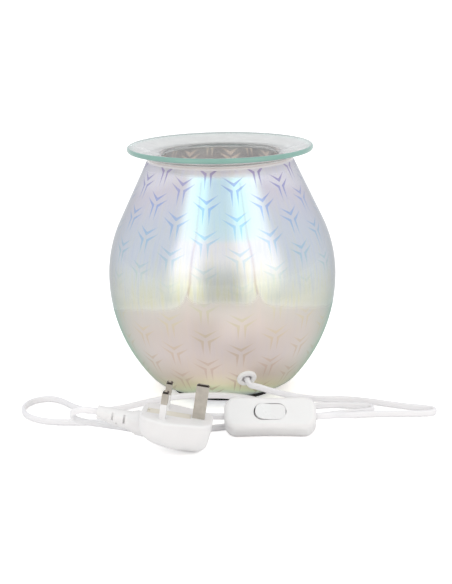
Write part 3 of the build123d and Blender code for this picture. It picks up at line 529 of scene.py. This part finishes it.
    def lamps(self, scene, values):
        """Two tall soft boxes beside the camera, brightest along their middle."""
        for name, azimuth, width in (("lamp_left", radians(-34), 0.36), ("lamp_right", radians(36.5), 0.50)):
            light = bpy.data.lights.new(name, "AREA")
            light.shape = "RECTANGLE"
            light.size, light.size_y = width, values.lamp_height
            light.energy = pi * light.size * light.size_y
            light.use_nodes = True
            tree = light.node_tree
            glow = tree.nodes["Emission"]
            glow.inputs["Strength"].default_value = values.lamp
            axes = axes_of(tree, node(tree, "ShaderNodeNewGeometry").outputs["Parametric"])
            off_middle = calc(tree, "ABSOLUTE", calc(tree, "SUBTRACT", axes[0], 0.5))
            across = ramp(tree, off_middle, (0.0, 1.0), (0.20, 0.92), (0.29, 0.55), (0.38, 0.16), (0.5, 0.0))
            up = ramp(tree, axes[1], (0.0, 0.0), (0.12, (0.40, 0.38, 0.26)), (0.30, (1.2, 1.02, 0.88)),
                      (0.62, (1.2, 1.04, 0.94)), (0.78, (0.66, 1.2, 1.0)))
            feed(tree, glow, Color=mix(tree, 1.0, across, up, "MULTIPLY"))
            lamp = bpy.data.objects.new(name, light)
            reach = values.lamp_distance
            lamp.location = (reach * sin(azimuth), -reach * cos(azimuth), values.lamp_height / 2)
            lamp.rotation_euler = (pi / 2, 0, azimuth)
            scene.collection.objects.link(lamp)


class BURNER_OT_cords(bpy.types.Operator):
    """Lays the flat mains cord from the jar to the switch and from the switch to the plug"""

    bl_idname = "burner.cords"
    bl_label = "Cords"

    def execute(self, context):
        values = context.scene.burner_cord
        jacket = moulded("white_cord", values.colour, 0.97, 0.42, patch=0.02, grain=0.0004)
        section = self.section(context, values)
        first = self.lay(context, "cord_lamp_to_switch", LAMP_TO_SWITCH, jacket, section)
        second = self.lay(context, "cord_switch_to_plug", SWITCH_TO_PLUG, jacket, section)
        return {"FINISHED"}

    def section(self, context, values):
        """The flat cord's section, two rounded halves with a shallow groove, as a closed curve."""
        curve = bpy.data.curves.new("cord_section", "CURVE")
        curve.dimensions = "2D"
        spline = curve.splines.new("NURBS")
        swell = 1.04  # the curve runs a little inside its points
        half_w, half_t = values.width / 2 * swell, values.thickness / 2 * swell
        points = [(t * half_t, w * half_w) for t, w in (
            (1, 0.45), (0.6, 1), (-0.6, 1), (-1, 0.45), (-0.95, 0), (-1, -0.45), (-0.6, -1), (0.6, -1),
            (1, -0.45), (0.95, 0),
        )]
        spline.points.add(len(points) - 1)
        for point, place in zip(spline.points, points):
            point.co = (*place, 0, 1)
        spline.order_u = 3
        spline.use_cyclic_u = True
        section = bpy.data.objects.new("cord_section", curve)
        context.scene.collection.objects.link(section)
        section.hide_render = True
        return section

    def lay(self, context, name, route, jacket, section):
        """One stretch of cord along the control points of its route."""
        curve = bpy.data.curves.new(name, "CURVE")
        curve.dimensions = "3D"
        curve.twist_mode = "Z_UP"
        curve.resolution_u = 8
        spline = curve.splines.new("NURBS")
        spline.points.add(len(route) - 1)
        for point, place in zip(spline.points, route):
            point.co = (*place, 1)
        spline.order_u = 3
        spline.use_endpoint_u = True
        curve.bevel_mode = "OBJECT"
        curve.bevel_object = section
        curve.use_fill_caps = True
        curve.materials.append(jacket)
        cord = bpy.data.objects.new(name + "_jacket", curve)
        context.scene.collection.objects.link(cord)
        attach(cord, "burner")
        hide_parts(name)
        return cord


class BURNER_OT_jar(bpy.types.Operator):
    """Blows the jar with its mirrored coat and its lattice of chevrons"""

    bl_idname = "burner.jar"
    bl_label = "Jar"

    def execute(self, context):
        values = context.scene.burner_jar
        outline = self.outline(values)
        mesh = turned("jar", outline, values.segments)
        jar = piece("jar_glass", mesh, self.coat(values))
        mesh.materials.append(self.inside())
        mesh.materials.append(self.bare_glass(values))
        for polygon in mesh.polygons:
            place = polygon.center
            outward = place.x * polygon.normal.x + place.y * polygon.normal.y
            on_floor = polygon.normal.z > 0.9 and place.z < 0.02
            if place.z > values.height - values.bare_lip:
                polygon.material_index = 2
            elif outward < 0 or on_floor:
                polygon.material_index = 1
        self.drill(context, jar, values)
        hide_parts("glass_jar")
        return {"FINISHED"}

    def outline(self, values):
        """The jar's closed section: foot, belly, shoulder, neck, round lip, and the same inside."""
        base, floor, hole, foot_round, inner_round = 0.0046, 0.0082, 0.0244, 0.018, 0.012
        belly_arc = belly_arc_radius(values, base)
        rise = values.height - values.belly
        bend = rise * values.bend_share
        taper = degrees(atan2(values.radius - values.lip_radius, rise - bend))
        shoulder_arc = bend / tan(radians(taper / 2))

        def side(inset, bottom, rounding):
            reach = belly_arc - inset - rounding
            drop = values.belly - bottom - rounding
            centre = (values.radius - belly_arc + sqrt(reach ** 2 - drop ** 2), bottom + rounding)
            low = -degrees(asin(drop / reach))
            points = arc(centre, rounding, -90, low, 10)[:-1]
            points += arc((values.radius - belly_arc, values.belly), belly_arc - inset, low, 0, 36)[:-1]
            points += arc((values.radius - shoulder_arc, values.belly), shoulder_arc - inset, 0, taper, 20)
            return points

        def lip(inset, height):
            centre = (values.radius - shoulder_arc, values.belly)
            start = arc(centre, shoulder_arc - inset, taper, taper, 1)[0]
            return (start[0] - (height - start[1]) * tan(radians(taper)), height)

        outside = side(0, base, foot_round)
        inside = side(values.wall, floor, inner_round)
        shoulder = values.height - values.wall / 2
        outer, inner = lip(0, shoulder), lip(values.wall, shoulder)
        for points, top in ((outside, outer), (inside, inner)):
            (r, z), rings = points[-1], 12
            points += [(r + (top[0] - r) * i / rings, z + (top[1] - z) * i / rings) for i in range(1, rings)]
        outside.append(lip(0, values.height - values.bare_lip))
        middle = ((outer[0] + inner[0]) / 2, shoulder)
        crown = arc(middle, (outer[0] - inner[0]) / 2, 0, 180, 12)
        crown = [(r, shoulder + (z - shoulder) * 0.92) for r, z in crown]
        return outside + crown + inside[::-1] + [(hole, floor), (hole, base)]

    def drill(self, context, jar, values):
        """Cuts the grommet's hole square to the glass."""
        radius, depth = 0.00475, 0.02
        bm = bmesh.new()
        bmesh.ops.create_cone(bm, cap_ends=True, segments=48, radius1=radius, radius2=radius, depth=depth)
        mesh = bpy.data.meshes.new("drill")
        bm.to_mesh(mesh)
        bm.free()
        drill = bpy.data.objects.new("drill", mesh)
        context.scene.collection.objects.link(drill)
        drill.matrix_world = grommet_place(values)
        cut = jar.modifiers.new("grommet_hole", "BOOLEAN")
        cut.object = drill
        cut.solver = "EXACT"
        context.view_layer.update()
        cut_mesh = bpy.data.meshes.new_from_object(jar.evaluated_get(context.evaluated_depsgraph_get()))
        jar.modifiers.clear()
        jar.data = cut_mesh
        bpy.data.objects.remove(drill)

    def coat(self, values):
        """The mirrored coat: its colours by height, with a painted floor reflection below a painted horizon
        that has three panel shapes, and the chevrons.
        """
        span, arch, dip = 0.17, 0.09, 0.055  # height of the colours, drop of the painted horizon aside, dip of its painted panel shapes
        made, tree, shader, place = material("jar_coat", IOR=1.5, Coat_Weight=0.12, Coat_Roughness=0.05)
        shader.inputs["Metallic"].default_value = 0.85
        shader.inputs["Specular Tint"].default_value = (0.72, 0.76, 0.76, 1)
        axes = axes_of(tree, place)
        drift = noise(tree, place, 0.05, 2.0)
        waver = calc(tree, "MULTIPLY_ADD", drift, 0.05, -0.025)
        level = plus(tree, calc(tree, "DIVIDE", axes[2], span), waver)
        turn = calc(tree, "POWER", calc(tree, "DIVIDE", axes[0], from_axis(tree, axes)), 2.0)
        ahead = calc(tree, "LESS_THAN", axes[1], 0.0)

        # Where the painted reflection of the floor ends, a painted horizon: lower in the middle panel,
        # pointed at the two seams
        painted_horizon_panels = ramp(tree, turn, (0.0, 0.42), (0.045, 0.45), (0.065, 0.56), (0.080, 0.86), (0.092, 1.0),
                      (0.105, 0.60), (0.13, 0.24), (0.17, 0.06), (0.24, 0.0))
        near = ramp(tree, level, (0.24, 0.0), (0.40, 1.0), (0.54, 1.0), (0.72, 0.0))
        lower = times(tree, painted_horizon_panels, near, ahead, -dip)
        painted_horizon_level = plus(tree, calc(tree, "MULTIPLY_ADD", turn, arch, level), lower)

        # Colours of the coat, its own film above and a painted reflection of the floor below the painted
        # horizon; of its rim seen at a slant; and of the chevrons' lines
        ground = ramp(
            tree, painted_horizon_level, (0.03, (0.80, 0.84, 1.00)), (0.055, (0.90, 0.96, 0.94)), (0.08, (0.94, 1.00, 0.74)),
            (0.115, (0.90, 0.82, 0.62)), (0.17, (0.84, 0.72, 0.65)), (0.27, (0.85, 0.75, 0.72)),
            (0.37, (0.78, 0.69, 0.64)), (0.46, (0.71, 0.67, 0.62)), (0.475, (0.74, 0.74, 0.66)),
            (0.50, (0.70, 0.71, 0.62)), (0.60, (0.66, 0.70, 0.70)), (0.68, (0.62, 0.67, 0.73)),
            (0.80, (0.62, 0.66, 0.73)), (0.94, (0.68, 0.65, 0.72)), (0.975, (0.76, 0.74, 0.80)))
        edge = ramp(
            tree, level, (0.04, (0.50, 0.56, 0.62)), (0.09, (0.46, 0.62, 0.48)), (0.20, (0.20, 0.50, 0.34)),
            (0.38, (0.22, 0.44, 0.36)), (0.50, (0.34, 0.29, 0.34)), (0.75, (0.48, 0.44, 0.52)),
            (0.95, (0.50, 0.48, 0.58)))
        line = ramp(
            tree, level, (0.05, (0.62, 0.50, 0.36)), (0.18, (0.72, 0.54, 0.46)), (0.34, (0.74, 0.62, 0.44)),
            (0.45, (0.70, 0.66, 0.48)), (0.56, (0.46, 0.62, 0.62)), (0.70, (0.38, 0.56, 0.72)),
            (0.84, (0.36, 0.46, 0.74)), (0.97, (0.40, 0.34, 0.56)))
        shown = ramp(
            tree, painted_horizon_level, (0.05, 0.65), (0.44, 0.75), (0.48, 0.16), (0.56, 0.22), (0.66, 0.75), (0.78, 1.0))
        mask = use_group(tree, "Burner chevrons", place=place).outputs["Mask"]
        strength = times(tree, mask, calc(tree, "MULTIPLY_ADD", drift, 0.5, 0.6, clamp=True), shown)

        # Fine upright streaks in the glossy part, and a painted reflection: a paler middle in the front part
        # that shows the painted floor reflection
        turned_flat = {0: calc(tree, "ARCTAN2", axes[0], axes[1]), 1: times(tree, axes[2], 1.2)}
        wound = node(tree, "ShaderNodeCombineXYZ", turned_flat).outputs[0]
        drawn = ramp(tree, noise(tree, wound, 0.03, 2.0), (0.34, (0.92, 0.94, 1.0)), (0.5, 1.0),
                     (0.66, (1.0, 0.99, 0.88)))
        glossy = ramp(tree, painted_horizon_level, (0.44, 0.15), (0.49, 1.0), (0.62, 0.8), (0.9, 0.4))
        middle = ramp(tree, turn, (0.0, (1.05, 1.06, 1.07)), (0.05, 1.0), (0.20, (0.95, 0.955, 0.955)),
                      (0.5, (0.98, 0.99, 1.0)))
        low = ramp(tree, painted_horizon_level, (0.42, 1.0), (0.46, 0.0))
        ground = mix(tree, times(tree, low, ahead), ground, middle, "MULTIPLY")
        film = mix(tree, strength, mix(tree, glossy, ground, drawn, "MULTIPLY"), line)
        facing = node(tree, "ShaderNodeLayerWeight", {"Blend": 0.5}).outputs["Facing"]
        rim = calc(tree, "MULTIPLY", calc(tree, "POWER", facing, 4.0), 1.15, clamp=True)

        # Blur: smeared all over, matt below the horizon, a little hazy near the lip
        blur = calc(tree, "MULTIPLY_ADD", noise(tree, place, 0.03, 4.0), 0.06, values.roughness - 0.03)
        matt = ramp(tree, painted_horizon_level, (0.455, 0.34), (0.48, 0.0))
        hazy = ramp(tree, level, (0.94, 0.0), (0.975, 0.3))
        wave = noise(tree, place, 0.02, 1.0)
        relief = plus(tree, times(tree, mask, -0.25), wave)
        feed(tree, shader, Base_Color=mix(tree, rim, film, edge), Normal=bump(tree, relief, 0.25, 0.0001),
             Roughness=plus(tree, blur, matt, hazy))
        return made

    def inside(self):
        """The coat seen from inside: grey, with wider chevrons, and a painted glow, faint over the grey and
        warm in the chevrons, that lights the dim inside.
        """
        made, tree, shader, place = material("jar_inner_coat", Roughness=0.4)
        lattice = use_group(tree, "Burner chevrons", place=place, first_row=0.0390, arm_width=0.0015)
        mask = lattice.outputs["Mask"]
        ground = ramp(tree, noise(tree, place, 0.03), (0.3, (0.80, 0.78, 0.81)), (0.7, (0.86, 0.84, 0.87)))
        # Painted light: the inner coat glows, faintly on the grey and warmly in the chevrons
        shader.inputs["Emission Strength"].default_value = 1.0
        feed(tree, shader, Base_Color=mix(tree, mask, ground, (1.0, 0.90, 0.82, 1)),
             Emission_Color=mix(tree, mask, (0.05, 0.05, 0.055, 1), (0.62, 0.48, 0.40, 1)))
        return made

    def bare_glass(self, values):
        """The uncoated lip, with the brown edge of the coat and a pale crown."""
        made, tree, shader, place = material("jar_lip_glass", Roughness=0.12, Coat_Weight=0.5)
        above = calc(tree, "SUBTRACT", axes_of(tree, place)["Z"], values.height - values.bare_lip)
        waver = calc(tree, "MULTIPLY_ADD", noise(tree, place, 0.004), 0.06, -0.03)
        share = plus(tree, calc(tree, "DIVIDE", above, values.bare_lip), waver)
        feed(tree, shader, Base_Color=ramp(
            tree, share, (0.0, (0.88, 0.87, 0.89)), (0.35, (0.76, 0.74, 0.75)), (0.55, (0.73, 0.68, 0.67)),
            (0.68, (0.66, 0.58, 0.55)), (0.80, (0.98, 0.97, 0.96)), (1.0, 1.0)))
        return made


def belly_arc_radius(values, base):
    """Radius of the belly's arc, from the widest place down to the foot."""
    inset, drop = values.radius - values.foot_radius, values.belly - base
    return (inset ** 2 + drop ** 2) / (2 * inset)


def grommet_place(values):
    """The frame of the grommet: its origin on the glass and +Z out of the jar."""
    height, turn, base = 0.0242, radians(-76.06), 0.0046
    belly_arc = belly_arc_radius(values, base)
    radius = values.radius - belly_arc + sqrt(belly_arc ** 2 - (values.belly - height) ** 2)
    slope = asin((height - values.belly) / belly_arc)
    out = Vector((cos(slope) * cos(turn), cos(slope) * sin(turn), sin(slope)))
    side = Vector((-sin(turn), cos(turn), 0))
    made = Matrix((side, out.cross(side), out)).transposed().to_4x4()
    made.translation = (radius * cos(turn), radius * sin(turn), height)
    return made


class BURNER_OT_dish(bpy.types.Operator):
    """Presses the glass wax dish with its sloped flange and hanging well"""

    bl_idname = "burner.dish"
    bl_label = "Wax dish"

    def execute(self, context):
        values = context.scene.burner_dish
        mesh = turned("dish", self.outline(values), 160)
        dish = piece("wax_dish_glass", mesh, self.glass(values, "dish_glass", clear=0.76, pale=1.0), "dish")
        mesh.materials.append(self.ground_edge(values))
        mesh.materials.append(self.glass(values, "dish_flange", clear=0.50, pale=1.13))
        for polygon in mesh.polygons:
            radius = Vector(polygon.center[:2]).length
            if radius > values.radius - values.edge_band:
                polygon.material_index = 1
            elif radius > values.well:
                polygon.material_index = 2
        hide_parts("wax_dish")
        return {"FINISHED"}

    def outline(self, values):
        """The dish's closed section, from its corners and how far each is rounded."""
        slope = tan(radians(13.6))
        rim, edge, wall, depth, draft = values.radius, 0.0037, 0.0036, 0.018, tan(radians(14))
        rest_height, rest_radius = 0.1701, 0.0493  # where the flange lies on the jar's lip
        under = rest_height + (rim - rest_radius) * slope
        well, bowl = 0.0415, 0.0451
        well_top = under + edge - (rim - well) * slope
        floor = well_top - depth
        bowl_top = under - (rim - bowl) * slope
        low = floor - wall
        corners = [
            ((0, low), 0), ((bowl - (bowl_top - low) * draft, low), 0.0145), ((bowl, bowl_top), 0.003),
            ((rim, under), 0.0014), ((rim, under + edge), 0.0014), ((well, well_top), 0.003),
            ((well - depth * draft, floor), 0.011), ((0, floor), 0),
        ]
        points = []
        for i, (corner, rounding) in enumerate(corners):
            here = Vector(corner)
            if rounding == 0:
                points.append(corner)
                continue
            before = (Vector(corners[i - 1][0]) - here).normalized()
            after = (Vector(corners[i + 1][0]) - here).normalized()
            half = before.angle(after) / 2
            start = here + before * rounding / tan(half)
            centre = here + (before + after).normalized() * rounding / sin(half)
            end = here + after * rounding / tan(half)
            count = max(4, ceil(rounding * 900))
            first, last = start - centre, end - centre
            sweep = first.angle(last)
            for k in range(count + 1):
                share = k / count
                point = (first * sin((1 - share) * sweep) + last * sin(share * sweep)) / sin(sweep)
                points.append(tuple(centre + point))
        return points

    def glass(self, values, name, clear, pale):
        """Pressed glass: clearer in the well, a little milky on the flange, green towards its edge."""
        made, tree, shader, place = material(name, Roughness=0.03, IOR=1.48, Metallic=0.0)
        shader.inputs["Transmission Weight"].default_value = clear
        green_from, green_width = values.radius - 0.006, 0.005
        radius = from_axis(tree, axes_of(tree, place))
        share = calc(tree, "DIVIDE", calc(tree, "SUBTRACT", radius, green_from), green_width, clamp=True)
        body = ramp(tree, noise(tree, place, 0.008), (0.3, [c * pale for c in (0.64, 0.65, 0.645)]),
                    (0.7, [c * pale for c in (0.69, 0.70, 0.695)]))
        feed(tree, shader, Base_Color=mix(tree, share, body, (0.68, 0.83, 0.79, 1)),
             Normal=bump(tree, noise(tree, place, 0.012, 1.0), 0.15, 0.0001))
        return made

    def ground_edge(self, values):
        """The dish's ground rim, where the glass shows its own green."""
        return moulded("dish_edge", values.tint, 1.12, 0.22, patch=0.01, Coat_Weight=0.4)


PIN_DIRECTION = (0.164052, 0.012209, 0.986376)


def dress(names, made):
    """Gives CAD nodes a finished material."""
    for name in names:
        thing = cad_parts[name]
        thing.data.materials.clear()
        thing.data.materials.append(made)


class BURNER_OT_switch(bpy.types.Operator):
    """Finishes the inline switch in satin white plastic"""

    bl_idname = "burner.switch"
    bl_label = "Switch"

    def execute(self, context):
        values = context.scene.burner_fittings
        shell = moulded("switch_plastic", values.plastic, 0.97, 0.34)
        dress(("switch_upper_shell", "switch_lower_shell"), shell)
        rocker_colour = [c * 0.97 for c in values.plastic]
        dress(("switch_rocker",), moulded("rocker_plastic", rocker_colour, 0.979, 0.28))
        brass = moulded("contact_brass", (0.70, 0.52, 0.24), (0.60, 0.44, 0.20), 0.35, Metallic=1.0)
        dress(("rocker_contact", "switch_terminals", "fuse_clips", "holder_contacts"), brass)
        return {"FINISHED"}


class BURNER_OT_plug(bpy.types.Operator):
    """Finishes the fused plug, its pins, sleeves and fuse carrier"""

    bl_idname = "burner.plug"
    bl_label = "Plug"

    def execute(self, context):
        values = context.scene.burner_fittings
        white = moulded("plug_plastic", values.plastic, 0.97, 0.36)
        dress(("plug_body", "pin_sleeves"), white)
        self.relief(values, white)
        dress(("fuse_carrier",), moulded("carrier_plastic", values.carrier, 0.95, 0.38))
        dress(("earth_pin", "line_pin", "neutral_pin"), self.nickel(values))
        dress(("fuse",), moulded("fuse_ceramic", (0.80, 0.78, 0.72), (0.74, 0.72, 0.66), 0.4))
        return {"FINISHED"}

    def relief(self, values, white):
        """The strain relief, bent up a little towards its tail."""
        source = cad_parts["plug_strain_relief"]
        mesh = source.data.copy()
        mesh.transform(source.matrix_world)
        mesh.materials.clear()
        low = min(vertex.co.x for vertex in mesh.vertices)
        for vertex in mesh.vertices:
            share = max(0.0, (values.relief_start - vertex.co.x) / (values.relief_start - low))
            vertex.co.z += values.relief_lift * share
        made = piece("strain_relief", mesh, white)
        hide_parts("plug_strain_relief")

    def nickel(self, values):
        """Plated pins, dark on the bevels of their tips."""
        flat_from, side_to = 0.93, 0.4  # how far a face looks along the pins: the tip's end, the pin's sides
        made = moulded("nickel_pin", values.nickel, 0.85, 0.38, spread=0.25, patch=0.003, Metallic=0.9)
        tree = made.node_tree
        shader = tree.nodes["Principled BSDF"]
        facing = node(tree, "ShaderNodeTexCoord").outputs["Normal"]
        inputs = {0: facing, 1: PIN_DIRECTION}
        along = node(tree, "ShaderNodeVectorMath", inputs, operation="DOT_PRODUCT").outputs["Value"]
        slant = times(tree, calc(tree, "GREATER_THAN", along, side_to),
                      calc(tree, "LESS_THAN", along, flat_from))
        plain = shader.inputs["Base Color"].links[0].from_socket
        feed(tree, shader, Base_Color=mix(tree, slant, plain, (0.05, 0.035, 0.03, 1)))
        return made


# Name, colour, shade, roughness, what else the finish sets, and the nodes that get it
FITTING_FINISHES = (
    ("base_black", (0.012, 0.012, 0.014), (0.02, 0.02, 0.022), 0.45, {}, ("base_disc",)),
    ("foot_foam", (0.02, 0.02, 0.02), (0.03, 0.03, 0.03), 0.9, {"grain": 0.0008, "depth": 0.0001},
     ("base_foot_ring",)),
    ("clamp_silicone", (0.66, 0.66, 0.64), (0.60, 0.60, 0.58), 0.4, {}, ("jar_clamp_ring",)),
    ("zinc_steel", (0.52, 0.53, 0.55), (0.42, 0.43, 0.45), 0.36,
     {"spread": 0.2, "patch": 0.006, "Metallic": 1.0},
     ("jar_clamp_plate", "clamp_screws", "holder_bracket", "bracket_screws", "holder_screws",
      "switch_screws")),
    ("lamp_ceramic", (0.80, 0.78, 0.74), (0.74, 0.72, 0.68), 0.55, {"depth": 0.00005},
     ("lamp_holder", "halogen_cap")),
    ("wire_sleeve", (0.74, 0.72, 0.66), (0.68, 0.66, 0.60), 0.6, {}, ("holder_wires", "switch_wires")),
    ("lead_white", (0.78, 0.78, 0.80), (0.74, 0.74, 0.76), 0.45, {}, ("lamp_lead",)),
    ("block_plastic", (0.76, 0.76, 0.73), (0.70, 0.70, 0.67), 0.45, {}, ("terminal_block",)),
    ("stud_nickel", (0.56, 0.54, 0.50), (0.50, 0.48, 0.45), 0.3, {"Metallic": 1.0}, ("halogen_studs",)),
    ("reflector_coat", (0.70, 0.66, 0.72), (0.60, 0.66, 0.74), 0.12, {"patch": 0.01, "Metallic": 0.9},
     ("halogen_reflector",)),
    ("lamp_glass", (0.93, 0.94, 0.96), (0.96, 0.97, 0.98), 0.04, {"spread": 0.02, "Transmission_Weight": 1.0},
     ("halogen_lens", "halogen_capsule")),
)


class BURNER_OT_fittings(bpy.types.Operator):
    """Finishes the base, the clamp, the grommet, the lampholder and the lamp"""

    bl_idname = "burner.fittings"
    bl_label = "Fittings"

    def execute(self, context):
        for name, colour, shade, roughness, extra, nodes in FITTING_FINISHES:
            dress(nodes, moulded(name, colour, shade, roughness, **extra))
        self.grommet(context)
        return {"FINISHED"}

    def grommet(self, context):
        """A soft white bush whose bore is wider than the cord, so that a dark gap shows."""
        rubber = moulded("grommet_white", (0.90, 0.90, 0.90), (0.86, 0.86, 0.87), 0.45)
        flange, neck, bore, inner, round_over = 0.0068, 0.0047, 0.0034, 0.0061, 0.0009
        proud, bed, wall, depth = 0.0018, 0.0009, 0.0026, 0.0042
        outline = [(bore, -depth), (inner, -depth), (inner, -wall)]
        outline += [(neck, -wall), (neck, -bed), (flange, -bed)]
        outline += arc((flange - round_over, proud - round_over), round_over, 0, 90, 6)
        outline += arc((bore + round_over, proud - round_over), round_over, 90, 180, 6)
        mesh = turned("grommet", outline, 64)
        mesh.transform(grommet_place(context.scene.burner_jar))
        bush = piece("cord_grommet_rubber", mesh, rubber)
        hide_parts("cord_grommet")


class BURNER_PT_panel(bpy.types.Panel):
    """Lists the burner's pieces and their sizes"""

    bl_idname = "BURNER_PT_panel"
    bl_label = "Oil burner"
    bl_space_type = "VIEW_3D"
    bl_region_type = "UI"
    bl_category = "Burner"

    def draw(self, context):
        for operator, name in STEPS:
            box = self.layout.box()
            box.operator(operator.bl_idname)
            if name:
                values = getattr(context.scene, name)
                for key in values.__annotations__:
                    box.prop(values, key)


STEPS = (
    (BURNER_OT_stage, "burner_stage"),
    (BURNER_OT_jar, "burner_jar"),
    (BURNER_OT_dish, "burner_dish"),
    (BURNER_OT_switch, "burner_fittings"),
    (BURNER_OT_plug, None),
    (BURNER_OT_fittings, None),
    (BURNER_OT_cords, "burner_cord"),
)
GROUPS = {
    "burner_stage": BurnerStage,
    "burner_cord": BurnerCord,
    "burner_jar": BurnerJar,
    "burner_dish": BurnerDish,
    "burner_fittings": BurnerFittings,
}


def register():
    """Adds the properties, the operators and the panel."""
    for name, kind in GROUPS.items():
        bpy.utils.register_class(kind)
        setattr(bpy.types.Scene, name, bpy.props.PointerProperty(type=kind))
    for operator, _ in STEPS:
        bpy.utils.register_class(operator)
    bpy.utils.register_class(BURNER_PT_panel)


def unregister():
    """Takes them away again."""
    bpy.utils.unregister_class(BURNER_PT_panel)
    for operator, _ in reversed(STEPS):
        bpy.utils.unregister_class(operator)
    for name, kind in reversed(list(GROUPS.items())):
        delattr(bpy.types.Scene, name)
        bpy.utils.unregister_class(kind)


def main():
    """Dresses the burner piece by piece."""
    register()
    make_surface_group()
    make_chevron_group()
    for operator, _ in STEPS:
        family, action = operator.bl_idname.split(".")
        getattr(getattr(bpy.ops, family), action)()
    bpy.context.view_layer.update()


if __name__ == "__main__":
    main()
